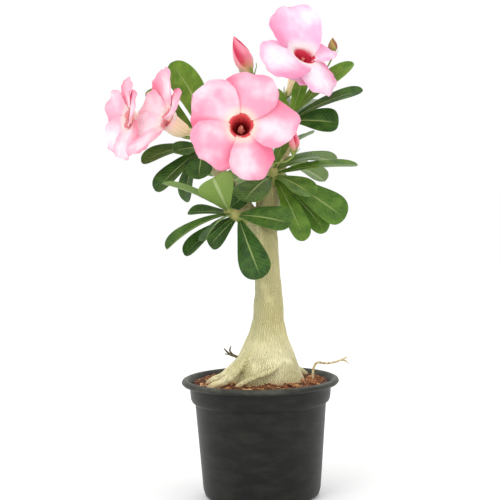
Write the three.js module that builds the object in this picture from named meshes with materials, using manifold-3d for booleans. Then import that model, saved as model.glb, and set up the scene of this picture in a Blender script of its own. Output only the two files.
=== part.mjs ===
// Potted desert rose (Adenium obesum): a swollen, forked trunk with surface roots, standing in a black
// nursery pot of coir mix, with rosettes of leaves at its branch tips and pink trumpet blooms.
//
// Millimetres, +Z up. The origin is the centre of the pot's flat base, and -Y is the plant's front.

import * as THREE from "three";
import { mergeVertices } from "three/addons/utils/BufferGeometryUtils.js";
import Module from "manifold-3d";

const wasm = await Module();
wasm.setup();

// ---------------------------------------------------------------- driving dimensions

const GAP = 0.3; // clearance between pieces that touch on the real plant

const POT = {
  height: 100,
  wall: 1.5,
  rimRadius: 66, // outside of the rolled lip
  mouthRadius: 60.5, // inside of the rolled lip
  collarRadius: 58.5, // outside of the upright band under the lip
  collarBottom: 81,
  bodyTopRadius: 55,
  bodyBottomRadius: 49.5,
  footRadius: 45,
  cornerHeight: 7,
  sides: 36,
};
const DRAIN = { count: 8, radius: 4, circle: 33 };

const SOIL = {
  edgeLevel: 97, // where the mix meets the pot's wall
  mound: 2.5, // how much higher it lies against the trunk
  moundRadius: 30,
  lumps: 0.8,
  sides: 24,
};

const LEAF_THICKNESS = 0.8;
const PETAL_THICKNESS = 0.8;
const CANE_SIDES = 8;

const COLOURS = {
  pot: new THREE.Color(0.03, 0.032, 0.033),
  soil: new THREE.Color(0.2, 0.09, 0.045),
  bark: new THREE.Color(0.56, 0.51, 0.34),
  leaf: new THREE.Color(0.07, 0.2, 0.045),
  petal: new THREE.Color(0.93, 0.42, 0.55),
  calyx: new THREE.Color(0.28, 0.4, 0.12),
  anther: new THREE.Color(0.85, 0.5, 0.4),
  twig: new THREE.Color(0.5, 0.45, 0.3),
};

// ---------------------------------------------------------------- solids

const vec = (p) => new THREE.Vector3(...p);

// A closed geometry as a manifold-3d solid, turned right way out if it was made inside out.
function solid(geometry) {
  const bare = geometry.clone();
  bare.deleteAttribute("normal");
  bare.deleteAttribute("uv");
  const merged = mergeVertices(bare, 1e-4);
  const vertProperties = new Float32Array(merged.attributes.position.array);
  const triVerts = new Uint32Array(merged.index.array);
  const make = () => new wasm.Manifold(new wasm.Mesh({ numProp: 3, vertProperties, triVerts }));
  const made = make();
  if (made.volume() > 0) {
    return made;
  }
  triVerts.reverse();
  return make();
}

function fused(solids) {
  return solids.reduce((whole, piece) => whole.add(piece));
}

// The one body that holds nearly all of a solid, without scraps cut loose by a joint of thin blades and
// without hollows sealed in it.
function largestBody(whole) {
  const bodies = whole.decompose();
  return bodies.reduce((best, body) => (body.volume() > best.volume() ? body : best));
}

function geometryOf(whole) {
  const mesh = whole.getMesh();
  const geometry = new THREE.BufferGeometry();
  geometry.setAttribute("position", new THREE.BufferAttribute(mesh.vertProperties, mesh.numProp));
  geometry.setIndex(new THREE.BufferAttribute(mesh.triVerts, 1));
  geometry.computeVertexNormals();
  return geometry;
}

function piece(name, geometry, colour, roughness = 0.6) {
  const material = new THREE.MeshStandardMaterial({ color: colour, roughness, metalness: 0 });
  const mesh = new THREE.Mesh(geometry, material);
  mesh.name = name;
  return mesh;
}

// A lathed solid standing on +Z, from (radius, height) points that start and end on the axis.
function turned(profile, sides) {
  const points = profile.map(([radius, height]) => new THREE.Vector2(radius, height));
  return new THREE.LatheGeometry(points, sides).rotateX(Math.PI / 2);
}

// Rings of points joined into a closed skin, with a point at each end.
function skin(rings, firstPole, lastPole) {
  const sides = rings[0].length;
  const points = [firstPole, ...rings.flat(), lastPole];
  const index = [];
  const at = (ring, side) => 1 + ring * sides + (side % sides);
  const last = points.length - 1;
  for (let side = 0; side < sides; side++) {
    index.push(0, at(0, side + 1), at(0, side));
    for (let ring = 0; ring < rings.length - 1; ring++) {
      const [a, b] = [at(ring, side), at(ring, side + 1)];
      const [c, d] = [at(ring + 1, side), at(ring + 1, side + 1)];
      index.push(a, b, d, a, d, c);
    }
    index.push(last, at(rings.length - 1, side), at(rings.length - 1, side + 1));
  }
  return new THREE.BufferGeometry().setFromPoints(points).setIndex(index);
}

// A limb: a round, tapering tube with closed ends along a smooth curve. Each stop is [x, y, z, radius],
// and extra makes it that much thicker and longer all round.
function limb(stops, sides = CANE_SIDES, steps = 3, extra = 0) {
  const curve = new THREE.CatmullRomCurve3(stops.map((s) => vec(s.slice(0, 3))));
  const count = (stops.length - 1) * steps;
  const frames = curve.computeFrenetFrames(count);
  const centres = curve.getSpacedPoints(count);
  centres[0].addScaledVector(curve.getTangentAt(0), -extra);
  centres[count].addScaledVector(curve.getTangentAt(1), extra);
  const rings = [];
  for (let i = 0; i <= count; i++) {
    const along = curve.getUtoTmapping(i / count) * (stops.length - 1);
    const stop = Math.min(Math.floor(along), stops.length - 2);
    const radius = THREE.MathUtils.lerp(stops[stop][3], stops[stop + 1][3], along - stop) + extra;
    const ring = [];
    for (let side = 0; side < sides; side++) {
      const angle = (2 * Math.PI * side) / sides;
      const reach = frames.normals[i].clone().multiplyScalar(radius * Math.cos(angle));
      reach.addScaledVector(frames.binormals[i], radius * Math.sin(angle));
      ring.push(reach.add(centres[i]));
    }
    rings.push(ring);
  }
  return skin(rings, centres[0], centres[count]);
}

// A thin blade: a sheet of rows x columns cells, offset to both sides and closed round its edge.
// place(u, v) gives {point, normal, thickness} for u from root to tip and v from edge to edge.
// The tip row closes to one point, and both faces are split into the same triangles.
function blade(rows, columns, place) {
  const faces = [[], []];
  for (let row = 0; row < rows.length; row++) {
    const isTip = row === rows.length - 1;
    for (let column = 0; column <= (isTip ? 0 : columns); column++) {
      const v = isTip ? 0 : (2 * column) / columns - 1;
      const { point, normal, thickness } = place(rows[row], v);
      faces[0].push(point.clone().addScaledVector(normal, thickness / 2));
      faces[1].push(point.clone().addScaledVector(normal, -thickness / 2));
    }
  }
  const half = faces[0].length;
  const wide = columns + 1;
  const index = [];
  const both = (a, b, c) => index.push(a, b, c, a + half, c + half, b + half);
  const wall = (a, b) => index.push(b, b + half, a, a, b + half, a + half);
  const tip = half - 1;
  for (let row = 0; row < rows.length - 2; row++) {
    for (let column = 0; column < columns; column++) {
      const a = row * wide + column;
      both(a, a + 1, a + wide);
      both(a + 1, a + wide + 1, a + wide);
    }
  }
  const lastRow = (rows.length - 2) * wide;
  for (let column = 0; column < columns; column++) {
    both(lastRow + column, lastRow + column + 1, tip);
    wall(column + 1, column);
  }
  for (let row = 0; row < rows.length - 2; row++) {
    wall(row * wide, (row + 1) * wide);
    wall((row + 1) * wide + columns, row * wide + columns);
  }
  wall(lastRow, tip);
  wall(tip, lastRow + columns);
  return new THREE.BufferGeometry().setFromPoints([...faces[0], ...faces[1]]).setIndex(index);
}

// ---------------------------------------------------------------- pot

function potSolid() {
  const inner = POT.wall;
  const lipMiddle = (POT.rimRadius + POT.mouthRadius) / 2;
  const profile = [
    [0, 0],
    [POT.footRadius, 0],
    [POT.bodyBottomRadius - 1.4, 2.2],
    [POT.bodyBottomRadius, POT.cornerHeight],
    [POT.bodyTopRadius, POT.collarBottom - 2],
    [POT.collarRadius - 1, POT.collarBottom],
    [POT.collarRadius, POT.collarBottom + 2.5],
    [POT.collarRadius + 0.8, POT.height - 5],
    [POT.rimRadius - 1.2, POT.height - 4.6],
    [POT.rimRadius, POT.height - 3],
    [POT.rimRadius - 1, POT.height - 0.8],
    [lipMiddle, POT.height],
    [POT.mouthRadius, POT.height - 1.2],
    [POT.collarRadius - inner, POT.height - 6],
    [POT.collarRadius - inner, POT.collarBottom + 2.5],
    [POT.bodyTopRadius - inner, POT.collarBottom - 1.4],
    [POT.bodyBottomRadius - inner, POT.cornerHeight],
    [POT.footRadius, inner],
    [0, inner],
  ];
  const holes = [];
  for (let i = 0; i < DRAIN.count; i++) {
    const angle = (2 * Math.PI * i) / DRAIN.count;
    const hole = new THREE.CylinderGeometry(DRAIN.radius, DRAIN.radius, 4 * inner, 8);
    hole.rotateX(Math.PI / 2);
    hole.translate(DRAIN.circle * Math.cos(angle), DRAIN.circle * Math.sin(angle), 0);
    holes.push(solid(hole));
  }
  return solid(turned(profile, POT.sides)).subtract(fused(holes));
}

// ---------------------------------------------------------------- trunk

// The caudex and trunk: [height, centre x, centre y, radius] from deep in the mix up to the fork.
const TRUNK = [
  [46, 4, 0, 9],
  [56, 4, 0, 19],
  [72, 4, 0, 28],
  [90, 4, -1, 32],
  [99, 4, -1, 31],
  [106, 4, -1, 28.5],
  [113, 4.5, -1, 26],
  [121, 5, 0, 22.8],
  [130, 6, 0, 18.8],
  [139, 6.8, 0, 15.4],
  [149, 7.5, 0, 13.2],
  [163, 8, 0, 12.1],
  [176, 8, 0, 10.9],
  [190, 7.5, 0, 10.2],
  [204, 6.5, 0, 10.4],
  [216, 5.5, 0, 11],
  [224, 5, 0, 9.5],
];
const TRUNK_SIDES = 18;
const FLUTE_FROM = 150; // below this height the trunk's section grows lobes that turn into roots

// Surface roots, each from inside the caudex out over the mix and down into it: [x, y, z, radius].
const ROOTS = [
  [[-7, -12, 124, 4], [-15, -21, 115, 4.6], [-22, -27, 107, 4.2], [-31, -31, 100.5, 3.6],
    [-41, -31, 97, 2.9], [-46, -28, 89, 1.8]],
  [[-12, -5, 120, 4], [-21, -9, 111, 4.2], [-31, -12, 103, 3.8], [-41, -14, 98.5, 4], [-48, -13, 90, 2.4]],
  [[17, -24, 113, 1.6], [10, -31.5, 109, 2.2], [-2, -34, 104.5, 2], [-12, -36.5, 99, 2], [-20, -37, 91, 1.4]],
  [[14, 14, 116, 4], [26, 20, 106, 4], [38, 26, 98, 3.2], [45, 28, 89, 1.8]],
  [[-2, 18, 117, 4.4], [-8, 30, 105, 4], [-14, 40, 98.5, 3.2], [-18, 48, 89, 1.8]],
];
const SNAG = [[-16, -6, 117, 1.7], [-23, -6, 121, 1.4], [-29, -6, 126, 0.9]]; // dead shoot on the caudex

// Branches from the fork up to the woody end under each rosette: [x, y, z, radius].
const BRANCHES = {
  low: [[3, 0, 210, 8.5], [-3, -9, 222, 7.6], [-8, -16, 230, 6.2], [-12, -21.5, 234.5, 5.2]],
  middle: [[6, 0, 214, 9.5], [9, 2, 236, 8], [11, 2, 252, 6.8], [12, 0, 262, 5.6]],
  top: [[8, 4, 230, 7], [14, 16, 256, 6.2], [20, 18, 280, 5.8], [26, 14, 300, 5.2], [28, 11, 311, 4.6]],
  left: [[3, 2, 216, 8], [-10, 10, 242, 7], [-28, 16, 268, 6], [-39, 15.5, 283, 5.2], [-42, 15, 288, 4.7]],
  crest: [[7, 5, 234, 6.6], [3, 12, 262, 5.6], [1, 12, 290, 5], [1, 9, 315, 4.2]],
  back: [[5, 3, 220, 8], [8, 20, 244, 6.8], [14, 36, 264, 5.8], [17, 43, 274, 5]],
};

function trunkRing([height, x, y, radius], extra) {
  const lobe = THREE.MathUtils.clamp((FLUTE_FROM - height) / 60, 0, 1);
  const ring = [];
  for (let side = 0; side < TRUNK_SIDES; side++) {
    const angle = (2 * Math.PI * side) / TRUNK_SIDES;
    const flute = 0.055 * Math.cos(3 * angle + 0.6) + 0.035 * Math.cos(5 * angle - 1.1);
    const reach = radius * (1 + lobe * flute) + extra;
    ring.push(new THREE.Vector3(x + reach * Math.cos(angle), y + reach * Math.sin(angle), height));
  }
  return ring;
}

// The woody plant. With extra above zero it is the hole that it stands in.
function trunkSolid(extra = 0) {
  const rings = TRUNK.map((stop) => trunkRing(stop, extra));
  rings[0].forEach((point) => (point.z -= extra));
  const [foot, head] = [TRUNK[0], TRUNK[TRUNK.length - 1]];
  const column = skin(rings, new THREE.Vector3(foot[1], foot[2], foot[0] - 3 - extra),
    new THREE.Vector3(head[1], head[2], head[0] + 2));
  const limbs = ROOTS.map((stops) => solid(limb(stops, 7, 2, extra)));
  if (extra === 0) {
    limbs.push(solid(limb(SNAG, 6, 1)));
    limbs.push(...Object.values(BRANCHES).map((stops) => solid(limb(stops, CANE_SIDES, 2))));
  }
  return fused([solid(column), ...limbs]);
}

// ---------------------------------------------------------------- dry root over the right of the pot

const DRY_ROOT = [
  [[45, -4, 88, 1.3], [44, -2, 98, 1.2], [45, 0, 107, 1.1], [48, 2, 111.5, 1], [56, 4, 110.5, 0.9],
    [66, 6, 112, 0.9], [74, 8, 115, 0.8]],
  [[68, 6.5, 112.5, 0.7], [72, 7, 112, 0.7], [75, 7, 109.5, 0.6]],
];

function dryRootSolid(extra = 0) {
  return fused(DRY_ROOT.map((stops) => solid(limb(stops, 6, 1, extra))));
}

// ---------------------------------------------------------------- soil

function soilLevel(x, y) {
  const heap = SOIL.mound * Math.exp(-((Math.hypot(x, y) / SOIL.moundRadius) ** 2));
  const lumps = Math.sin(0.31 * x + 1.3) * Math.sin(0.27 * y - 0.4) + 0.6 * Math.sin(0.53 * (x - y));
  return SOIL.edgeLevel + heap + SOIL.lumps * lumps;
}

function soilSolid() {
  const wall = POT.wall + GAP;
  const topRadius = POT.collarRadius - wall;
  const ringAt = (radius, height) => {
    const ring = [];
    for (let side = 0; side < SOIL.sides; side++) {
      const angle = (2 * Math.PI * side) / SOIL.sides;
      const [x, y] = [radius * Math.cos(angle), radius * Math.sin(angle)];
      ring.push(new THREE.Vector3(x, y, height ?? soilLevel(x, y)));
    }
    return ring;
  };
  const rings = [
    ringAt(POT.footRadius - 1, wall),
    ringAt(POT.bodyBottomRadius - wall - 0.5, POT.cornerHeight + 1),
    ringAt(POT.bodyTopRadius - wall - 0.3, POT.collarBottom - 1),
    ringAt(topRadius - 0.3, POT.collarBottom + 3),
    ...[topRadius - 0.3, 49, 41, 33, 22, 10].map((radius) => ringAt(radius)),
  ];
  const plug = skin(rings, new THREE.Vector3(0, 0, wall), new THREE.Vector3(0, 0, soilLevel(0, 0)));
  return largestBody(solid(plug).subtract(trunkSolid(GAP)).subtract(dryRootSolid(GAP)));
}

// ---------------------------------------------------------------- leaves

const LEAF_ROWS = [0, 0.14, 0.36, 0.6, 0.81, 0.94, 1];
const LEAF_COLUMNS = 2;

// The width of an obovate leaf or petal at u, as a share of its greatest: a wedge that ends round,
// or in a point as `point` goes from 0 to 1. A smaller taper makes it broader towards its root.
function obovate(u, point, taper = 0.95) {
  const roundness = THREE.MathUtils.lerp(7, 2.6, point);
  const widest = (2 * taper) / (2 * taper + roundness);
  const peak = widest ** (taper / roundness) * Math.sqrt(1 - widest);
  return (u ** taper * Math.sqrt(Math.max(0, 1 - u ** roundness))) / peak;
}

// A leaf from root to tip whose upper face looks towards `face`. It bows up by `arch` and sideways by
// `sweep` times its length, and its halves rise from the midrib by `fold` degrees.
function leafSolid(root, tip, { width, face, arch = 0.12, sweep = 0, fold = 16, point = 0.25 }) {
  const chord = tip.clone().sub(root);
  const along = chord.clone().normalize();
  const up = face.clone().addScaledVector(along, -face.dot(along)).normalize();
  const side = along.clone().cross(up);
  const bow = root.clone().addScaledVector(chord, 0.45);
  bow.addScaledVector(up, arch * chord.length()).addScaledVector(side, sweep * chord.length());
  const spine = new THREE.QuadraticBezierCurve3(root, bow, tip);
  const rise = THREE.MathUtils.degToRad(fold);
  return solid(blade(LEAF_ROWS, LEAF_COLUMNS, (u, v) => {
    const tangent = spine.getTangent(u);
    const across = tangent.clone().cross(up).normalize();
    const normal = across.clone().cross(tangent);
    const reach = v * Math.max(1.3 * (1 - u), (width / 2) * obovate(u, point));
    const position = spine.getPoint(u).addScaledVector(across, reach * Math.cos(rise));
    position.addScaledVector(normal, Math.abs(reach) * Math.sin(rise));
    const rib = v === 0 ? 0.9 * (1 - u) : 0;
    return { point: position, normal, thickness: LEAF_THICKNESS + rib };
  }));
}

// Rosettes: the green stem that carries on from the branch of the same name, [x, y, z, radius] to its
// end, and its leaves. Each leaf is [tip x, tip y, tip z, width, how far up the stem it grows,
// {how it is held}]. A leaf without a `face` looks the way the stem points.
const ROSETTES = {
  low: {
    stem: [[-19, -29, 239, 4.4], [-26, -34, 243, 3]],
    leaves: [
      [2, -46, 188, 27, 0.1, { face: [-0.3, -1, 0.1], arch: 0.06, fold: 8 }],
      [-74, -48, 213, 18, 0.6, { face: [-0.2, -0.4, 0.9], arch: 0.18, fold: 30 }],
      [-60, -36, 207, 16, 0.3, { face: [-0.2, -0.6, 0.8], fold: 24 }],
      [-40, -16, 213, 18, 0.1, { face: [-0.3, -0.9, 0.3], arch: 0.08, fold: 12 }],
      [-57, -20, 241, 18, 0.5, { face: [0, -0.5, 1], arch: 0.08 }],
      [-35, -66, 270, 30, 0.9, { face: [-0.35, 0.5, 0.8], arch: -0.06, fold: 14, point: 0 }],
      [-76, -46, 266, 15, 0.7, { face: [-0.2, 0.3, 1], arch: 0.1, fold: 24, point: 0.7 }],
      [27, -52, 232, 27, 0.3, { face: [0, -0.75, 0.65], arch: 0.1, fold: 14 }],
      [-24, -14, 268, 12, 0.8, { face: [0, -1, 0.3], arch: 0.04, point: 0.6 }],
      [-42, -72, 222, 20, 0.5, { arch: 0.14 }],
    ],
  },
  middle: {
    stem: [[13, -2, 268, 4.8], [14, -4, 276, 3.2]],
    leaves: [
      [85, 12, 277, 16, 0.5, { face: [0, -0.5, 0.9], arch: 0.1, fold: 14, point: 0.9 }],
      [52, 14, 284, 18, 0.7, { face: [-0.2, -0.5, 0.85], arch: 0.18, fold: 14, point: 0.7 }],
      [45, -30, 253, 24, 0.4, { face: [0.1, -0.6, 0.8], arch: 0.14, fold: 14 }],
      [72, -12, 233, 29, 0.45, { face: [0.3, -0.85, 0.45], arch: 0.14, fold: 8, point: 0 }],
      [57, -4, 222, 22, 0.45, { face: [0.4, -0.8, 0.4], arch: 0.08, fold: 10, point: 0.6 }],
      [-11, -38, 250, 31, 0.4, { face: [-0.1, -0.6, 0.8], arch: 0.12, fold: 8, point: 0 }],
      [42, 12, 226, 20, 0.6, { face: [0.4, -0.8, 0.4], fold: 12 }],
      [38, -22, 216, 20, 0.5, { face: [0.2, -0.9, 0.4], arch: 0.14, fold: 14, point: 0.5 }],
      [-24, 0, 242, 16, 0.5, { face: [-0.2, -0.9, 0.4], arch: 0.06 }],
      [25, -2, 306, 13, 0.9, { face: [0.1, -1, 0.1], arch: 0.02 }],
    ],
  },
  top: {
    stem: [[29, 11, 317, 4], [30, 11, 322, 3]],
    leaves: [
      [89, -2, 339, 17, 0.1, { face: [-0.3, -0.5, 0.8], arch: 0.1, fold: 14, point: 0.9 }],
      [69, 5, 312, 25, 0.05, { face: [0.1, -0.8, 0.5], arch: 0.12, fold: 14, point: 0 }],
      [83, 27, 363, 17, 0.6, { face: [-0.2, -0.7, 0.7], arch: 0.1, fold: 14, point: 0.8 }],
      [40, -16, 351, 12, 0.2, { face: [0.1, -1, 0.2], arch: -0.04, fold: 14, point: 0.9 }],
      [16, 2, 341, 10, 0.3, { face: [0, -1, 0.2], arch: 0.04, fold: 14, point: 0.9 }],
      [58, 52, 332, 20, 0.3, { arch: 0.14 }],
      [16, 58, 338, 20, 0.4, { arch: 0.14 }],
    ],
  },
  left: {
    stem: [[-43.5, 15.2, 293, 4], [-43, 15, 298, 3.4]],
    leaves: [
      [-71, 24, 365, 27, 0.7, { face: [0.2, -1, 0.1], arch: -0.06, sweep: 0.2, fold: 14, point: 0.7 }],
      [-92, 48, 343, 19, 0.4, { face: [0, -0.7, 0.7], arch: 0.1, point: 0.5 }],
      [-96, 4, 282, 18, 0.4, { face: [-0.1, -0.35, 0.95], arch: 0.2, fold: 20, point: 0.5 }],
      [-68, -12, 291, 16, 0.5, { face: [0, -0.8, 0.5], arch: 0.08 }],
      [-48, -16, 268, 22, 0.45, { face: [-0.2, -0.9, 0.4], arch: 0.14, fold: 10, point: 0 }],
      [-85, 6, 258, 21, 0.5, { face: [-0.3, -0.7, 0.6], arch: 0.1, point: 0.4 }],
      [-61, 24, 248, 19, 0.7, { face: [-0.6, -0.7, 0.4], arch: 0.2, fold: 14 }],
      [-68, 62, 288, 22, 0.4, { arch: 0.14 }],
      [-20, 58, 292, 20, 0.15, { fold: 18 }],
      [-38, 62, 268, 22, 0.45, { arch: 0.16, fold: 14 }],
    ],
  },
  crest: {
    stem: [[0, 9, 320, 3.8], [-1, 8, 325, 3]],
    leaves: [
      [-34, 30, 336, 18, 0.5, { fold: 18 }],
      [-12, 46, 342, 18, 0.4, { arch: 0.1, fold: 20 }],
    ],
  },
  back: {
    stem: [[19, 46.5, 280, 4.4], [20, 49, 287, 3]],
    leaves: [
      [60, 66, 262, 24, 0.2, { arch: 0.16, fold: 14 }],
      [70, 48, 280, 21, 0.4, { arch: 0.12 }],
      [38, 94, 274, 24, 0.3, { arch: 0.16, fold: 14 }],
      [-4, 94, 264, 24, 0.15, { arch: 0.16, fold: 12 }],
      [-32, 66, 256, 22, 0.1, { arch: 0.16, fold: 14 }],
      [24, 78, 230, 26, 0.1, { arch: 0.14, fold: 12 }],
      [-8, 86, 300, 20, 0.6, { fold: 18 }],
      [28, 80, 318, 19, 0.9, { arch: 0.06, fold: 22 }],
      [50, 74, 304, 19, 0.8, { arch: 0.1, fold: 20 }],
    ],
  },
};

// The stem starts square to its branch's end, a gap beyond it.
function rosetteSolid(branch, { stem, leaves }) {
  const [before, end] = branch.slice(-2).map((stop) => vec(stop.slice(0, 3)));
  const out = end.clone().sub(before).normalize();
  const radius = branch[branch.length - 1][3] - 0.4;
  const start = [GAP, 2.4].map((reach) => [...end.clone().addScaledVector(out, reach).toArray(), radius]);
  const stops = [...start, ...stem];
  const curve = new THREE.CatmullRomCurve3(stops.map((stop) => vec(stop.slice(0, 3))));
  const blades = leaves.map(([x, y, z, width, at, held]) => {
    const face = held.face ? vec(held.face) : curve.getTangentAt(at);
    const root = curve.getPointAt(THREE.MathUtils.lerp(0.25, 0.92, at));
    return leafSolid(root, new THREE.Vector3(x, y, z), { ...held, width, face });
  });
  return fused([solid(limb(stops, 7, 2)), ...blades]);
}

// ---------------------------------------------------------------- blooms

// In a bloom's own frame the throat is the origin and +Z points out of it.
const TUBE = { mouth: 8.2, waist: 3, root: 2.2, wall: 0.9, hollow: 24, sides: 12 };
const PETAL_ROWS = [0, 0.17, 0.38, 0.62, 0.86, 1];
const PETAL_COLUMNS = 4;
const PETAL_ROOT = { radius: 7.75, depth: 5 }; // inside the thickness of the tube's wall
const PETAL_OVERLAP = 0.13; // slope across a petal's width that puts one edge under its neighbour
const RUFFLE = 1.2;

function tubeSolid(length) {
  const { mouth, waist, root, wall, hollow } = TUBE;
  const profile = [
    [0, -length],
    [root, -length],
    [waist, -length + 7],
    [mouth * 0.72, -length * 0.62],
    [mouth * 0.96, -length * 0.3],
    [mouth, -4],
    [mouth + 0.8, -1],
    [mouth - wall, -4],
    [mouth * 0.96 - wall, -length * 0.3],
    [mouth * 0.72 - wall, -length * 0.62 + 0.6],
    [waist - wall, -hollow],
    [0, -hollow],
  ];
  return solid(turned(profile, TUBE.sides));
}

// The line of a petal as [radius, height] points: up out of the tube, then over to `cup` degrees above
// the plane of the flower, curling back by `curl` degrees at the tip.
function petalSpine(length, cup, curl) {
  const steps = 28;
  const points = [new THREE.Vector3(PETAL_ROOT.radius, 0, -PETAL_ROOT.depth)];
  for (let i = 0; i < steps; i++) {
    const u = (i + 0.5) / steps;
    const lean = cup + (82 - cup) * Math.exp(-((u / 0.16) ** 2)) - curl * u ** 2;
    const angle = THREE.MathUtils.degToRad(lean);
    const step = new THREE.Vector3(Math.cos(angle), 0, Math.sin(angle));
    points.push(points[i].clone().addScaledVector(step, length / steps));
  }
  return points;
}

// One petal: [direction round the bloom, cup, length, half width, curl], in degrees and millimetres.
// All petals of a bloom share one taper, as obovate takes it. A petal's leading edge lies under its
// neighbour and its trailing edge lies over the other.
function petalSolid(taper, [direction, cup, length, halfWidth, curl]) {
  const spine = petalSpine(length, cup, curl);
  const place = (u, v) => {
    const at = u * (spine.length - 1);
    const step = Math.min(Math.floor(at), spine.length - 2);
    const line = spine[step + 1].clone().sub(spine[step]);
    const centre = spine[step].clone().addScaledVector(line, at - step);
    const normal = new THREE.Vector3(-line.z, 0, line.x).normalize();
    const reach = Math.max(4.4 * (1 - u), halfWidth * obovate(u, 0, taper));
    const turn = Math.min((v * reach) / centre.x, 1.1);
    const wave = RUFFLE * v * v * u * Math.sin(7.5 * u + 2.2 * v + direction);
    const lift = wave - PETAL_OVERLAP * v * reach - 0.05 * reach * v * v;
    centre.addScaledVector(normal, lift);
    const spin = turn + THREE.MathUtils.degToRad(direction);
    const axis = new THREE.Vector3(0, 0, 1);
    return {
      point: centre.applyAxisAngle(axis, spin),
      normal: normal.applyAxisAngle(axis, spin),
      thickness: PETAL_THICKNESS,
    };
  };
  return solid(blade(PETAL_ROWS, PETAL_COLUMNS, place));
}

// The cone of anthers, five-ribbed, standing in the tube.
function antherSolid() {
  const ring = (height, radius) => {
    const points = [];
    for (let side = 0; side < 10; side++) {
      const angle = (2 * Math.PI * side) / 10;
      const reach = radius * (side % 2 ? 0.72 : 1);
      points.push(new THREE.Vector3(reach * Math.cos(angle), reach * Math.sin(angle), height));
    }
    return points;
  };
  const foot = -TUBE.hollow + GAP;
  const rings = [ring(foot, 1.4), ring(foot + 5, 2.6), ring(foot + 10, 2.4), ring(-8, 1)];
  return skin(rings, new THREE.Vector3(0, 0, foot), new THREE.Vector3(0, 0, -6.5));
}

// A cup of five pointed sepals round the foot of a tube or bud, whose foot is at `height`, on a stalk
// that comes through the points of `stalk` from the stem. The cup is `foot` wide inside at its floor
// and `brim` wide at the sepals' points.
function calyxSolid({ height, foot, brim, stalk, size = 1 }) {
  const sides = 10;
  const crown = (radius, valley, peak) => {
    const ring = [];
    for (let side = 0; side < sides; side++) {
      const angle = (2 * Math.PI * side) / sides;
      const level = height + (side % 2 ? valley : peak);
      ring.push(new THREE.Vector3(radius * Math.cos(angle), radius * Math.sin(angle), level));
    }
    return ring;
  };
  const rings = [
    crown(1.6 * size, -2.6, -2.6),
    crown(foot + 0.9, 0, 0),
    crown(brim + 0.9, 2.6 * size, 6.5 * size),
    crown(brim, 2.6 * size, 6.5 * size),
    crown(foot, -GAP, -GAP),
  ];
  const cup = skin(rings, new THREE.Vector3(0, 0, height - 3), new THREE.Vector3(0, 0, height - GAP));
  const route = stalk.map((point) => [...point.toArray(), 1.6 * size]);
  const stops = [...route, [0, 0, height - 6 * size, 1.8 * size], [0, 0, height - 1.6, 2 * size]];
  return fused([solid(cup), solid(limb(stops, 6, 2))]);
}

// A pointed bud with its petals still rolled round each other.
const BUD_OUTLINE = [[0, 0.36], [0.08, 0.52], [0.2, 0.8], [0.38, 1], [0.56, 0.92], [0.76, 0.6], [0.92, 0.24]];

function budSolid(length, radius) {
  const sides = 10;
  const rings = BUD_OUTLINE.map(([u, share]) => {
    const ring = [];
    for (let side = 0; side < sides; side++) {
      const angle = (2 * Math.PI * side) / sides;
      const reach = radius * share * (1 + 0.06 * Math.sin(3 * angle + 5 * u));
      ring.push(new THREE.Vector3(reach * Math.cos(angle), reach * Math.sin(angle), u * length));
    }
    return ring;
  });
  return skin(rings, new THREE.Vector3(0, 0, 0), new THREE.Vector3(0, 0, length));
}

// A group whose origin is at `position` and whose +Z looks along `facing`, with +Y as upright as it can be.
function facingGroup(position, facing) {
  const out = vec(facing).normalize();
  const up = new THREE.Vector3(0, 0, 1).addScaledVector(out, -out.z).normalize();
  const group = new THREE.Group();
  group.position.fromArray(position);
  group.quaternion.setFromRotationMatrix(
    new THREE.Matrix4().makeBasis(up.clone().cross(out), up, out));
  group.updateMatrixWorld();
  return group;
}

// A bloom and its stalk, which passes the listed points on its way from the stem to the calyx.
function bloom(name, { throat, facing, tube, taper, petals, stalk }) {
  const group = facingGroup(throat, facing);
  const corolla = largestBody(fused([tubeSolid(tube), ...petals.map((petal) => petalSolid(taper, petal))]));
  const calyx = calyxSolid({
    height: -tube,
    foot: TUBE.root + GAP,
    brim: TUBE.waist + 2 * GAP,
    stalk: stalk.map((point) => group.worldToLocal(vec(point))),
  });
  group.add(
    piece(`${name}_corolla`, geometryOf(corolla), COLOURS.petal, 0.5),
    piece(`${name}_anthers`, antherSolid(), COLOURS.anther, 0.6),
    piece(`${name}_calyx`, geometryOf(calyx), COLOURS.calyx),
  );
  return group;
}

function bud(name, { foot, facing, length, radius, stalk }) {
  const group = facingGroup(foot, facing);
  const calyx = calyxSolid({
    height: 0,
    foot: radius * BUD_OUTLINE[0][1] * 1.06 + GAP,
    brim: radius * 0.98 + GAP,
    stalk: stalk.map((point) => group.worldToLocal(vec(point))),
    size: length / 30,
  });
  group.add(
    piece(name, budSolid(length, radius), COLOURS.petal, 0.5),
    piece(`${name}_calyx`, geometryOf(calyx), COLOURS.calyx),
  );
  return group;
}

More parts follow.
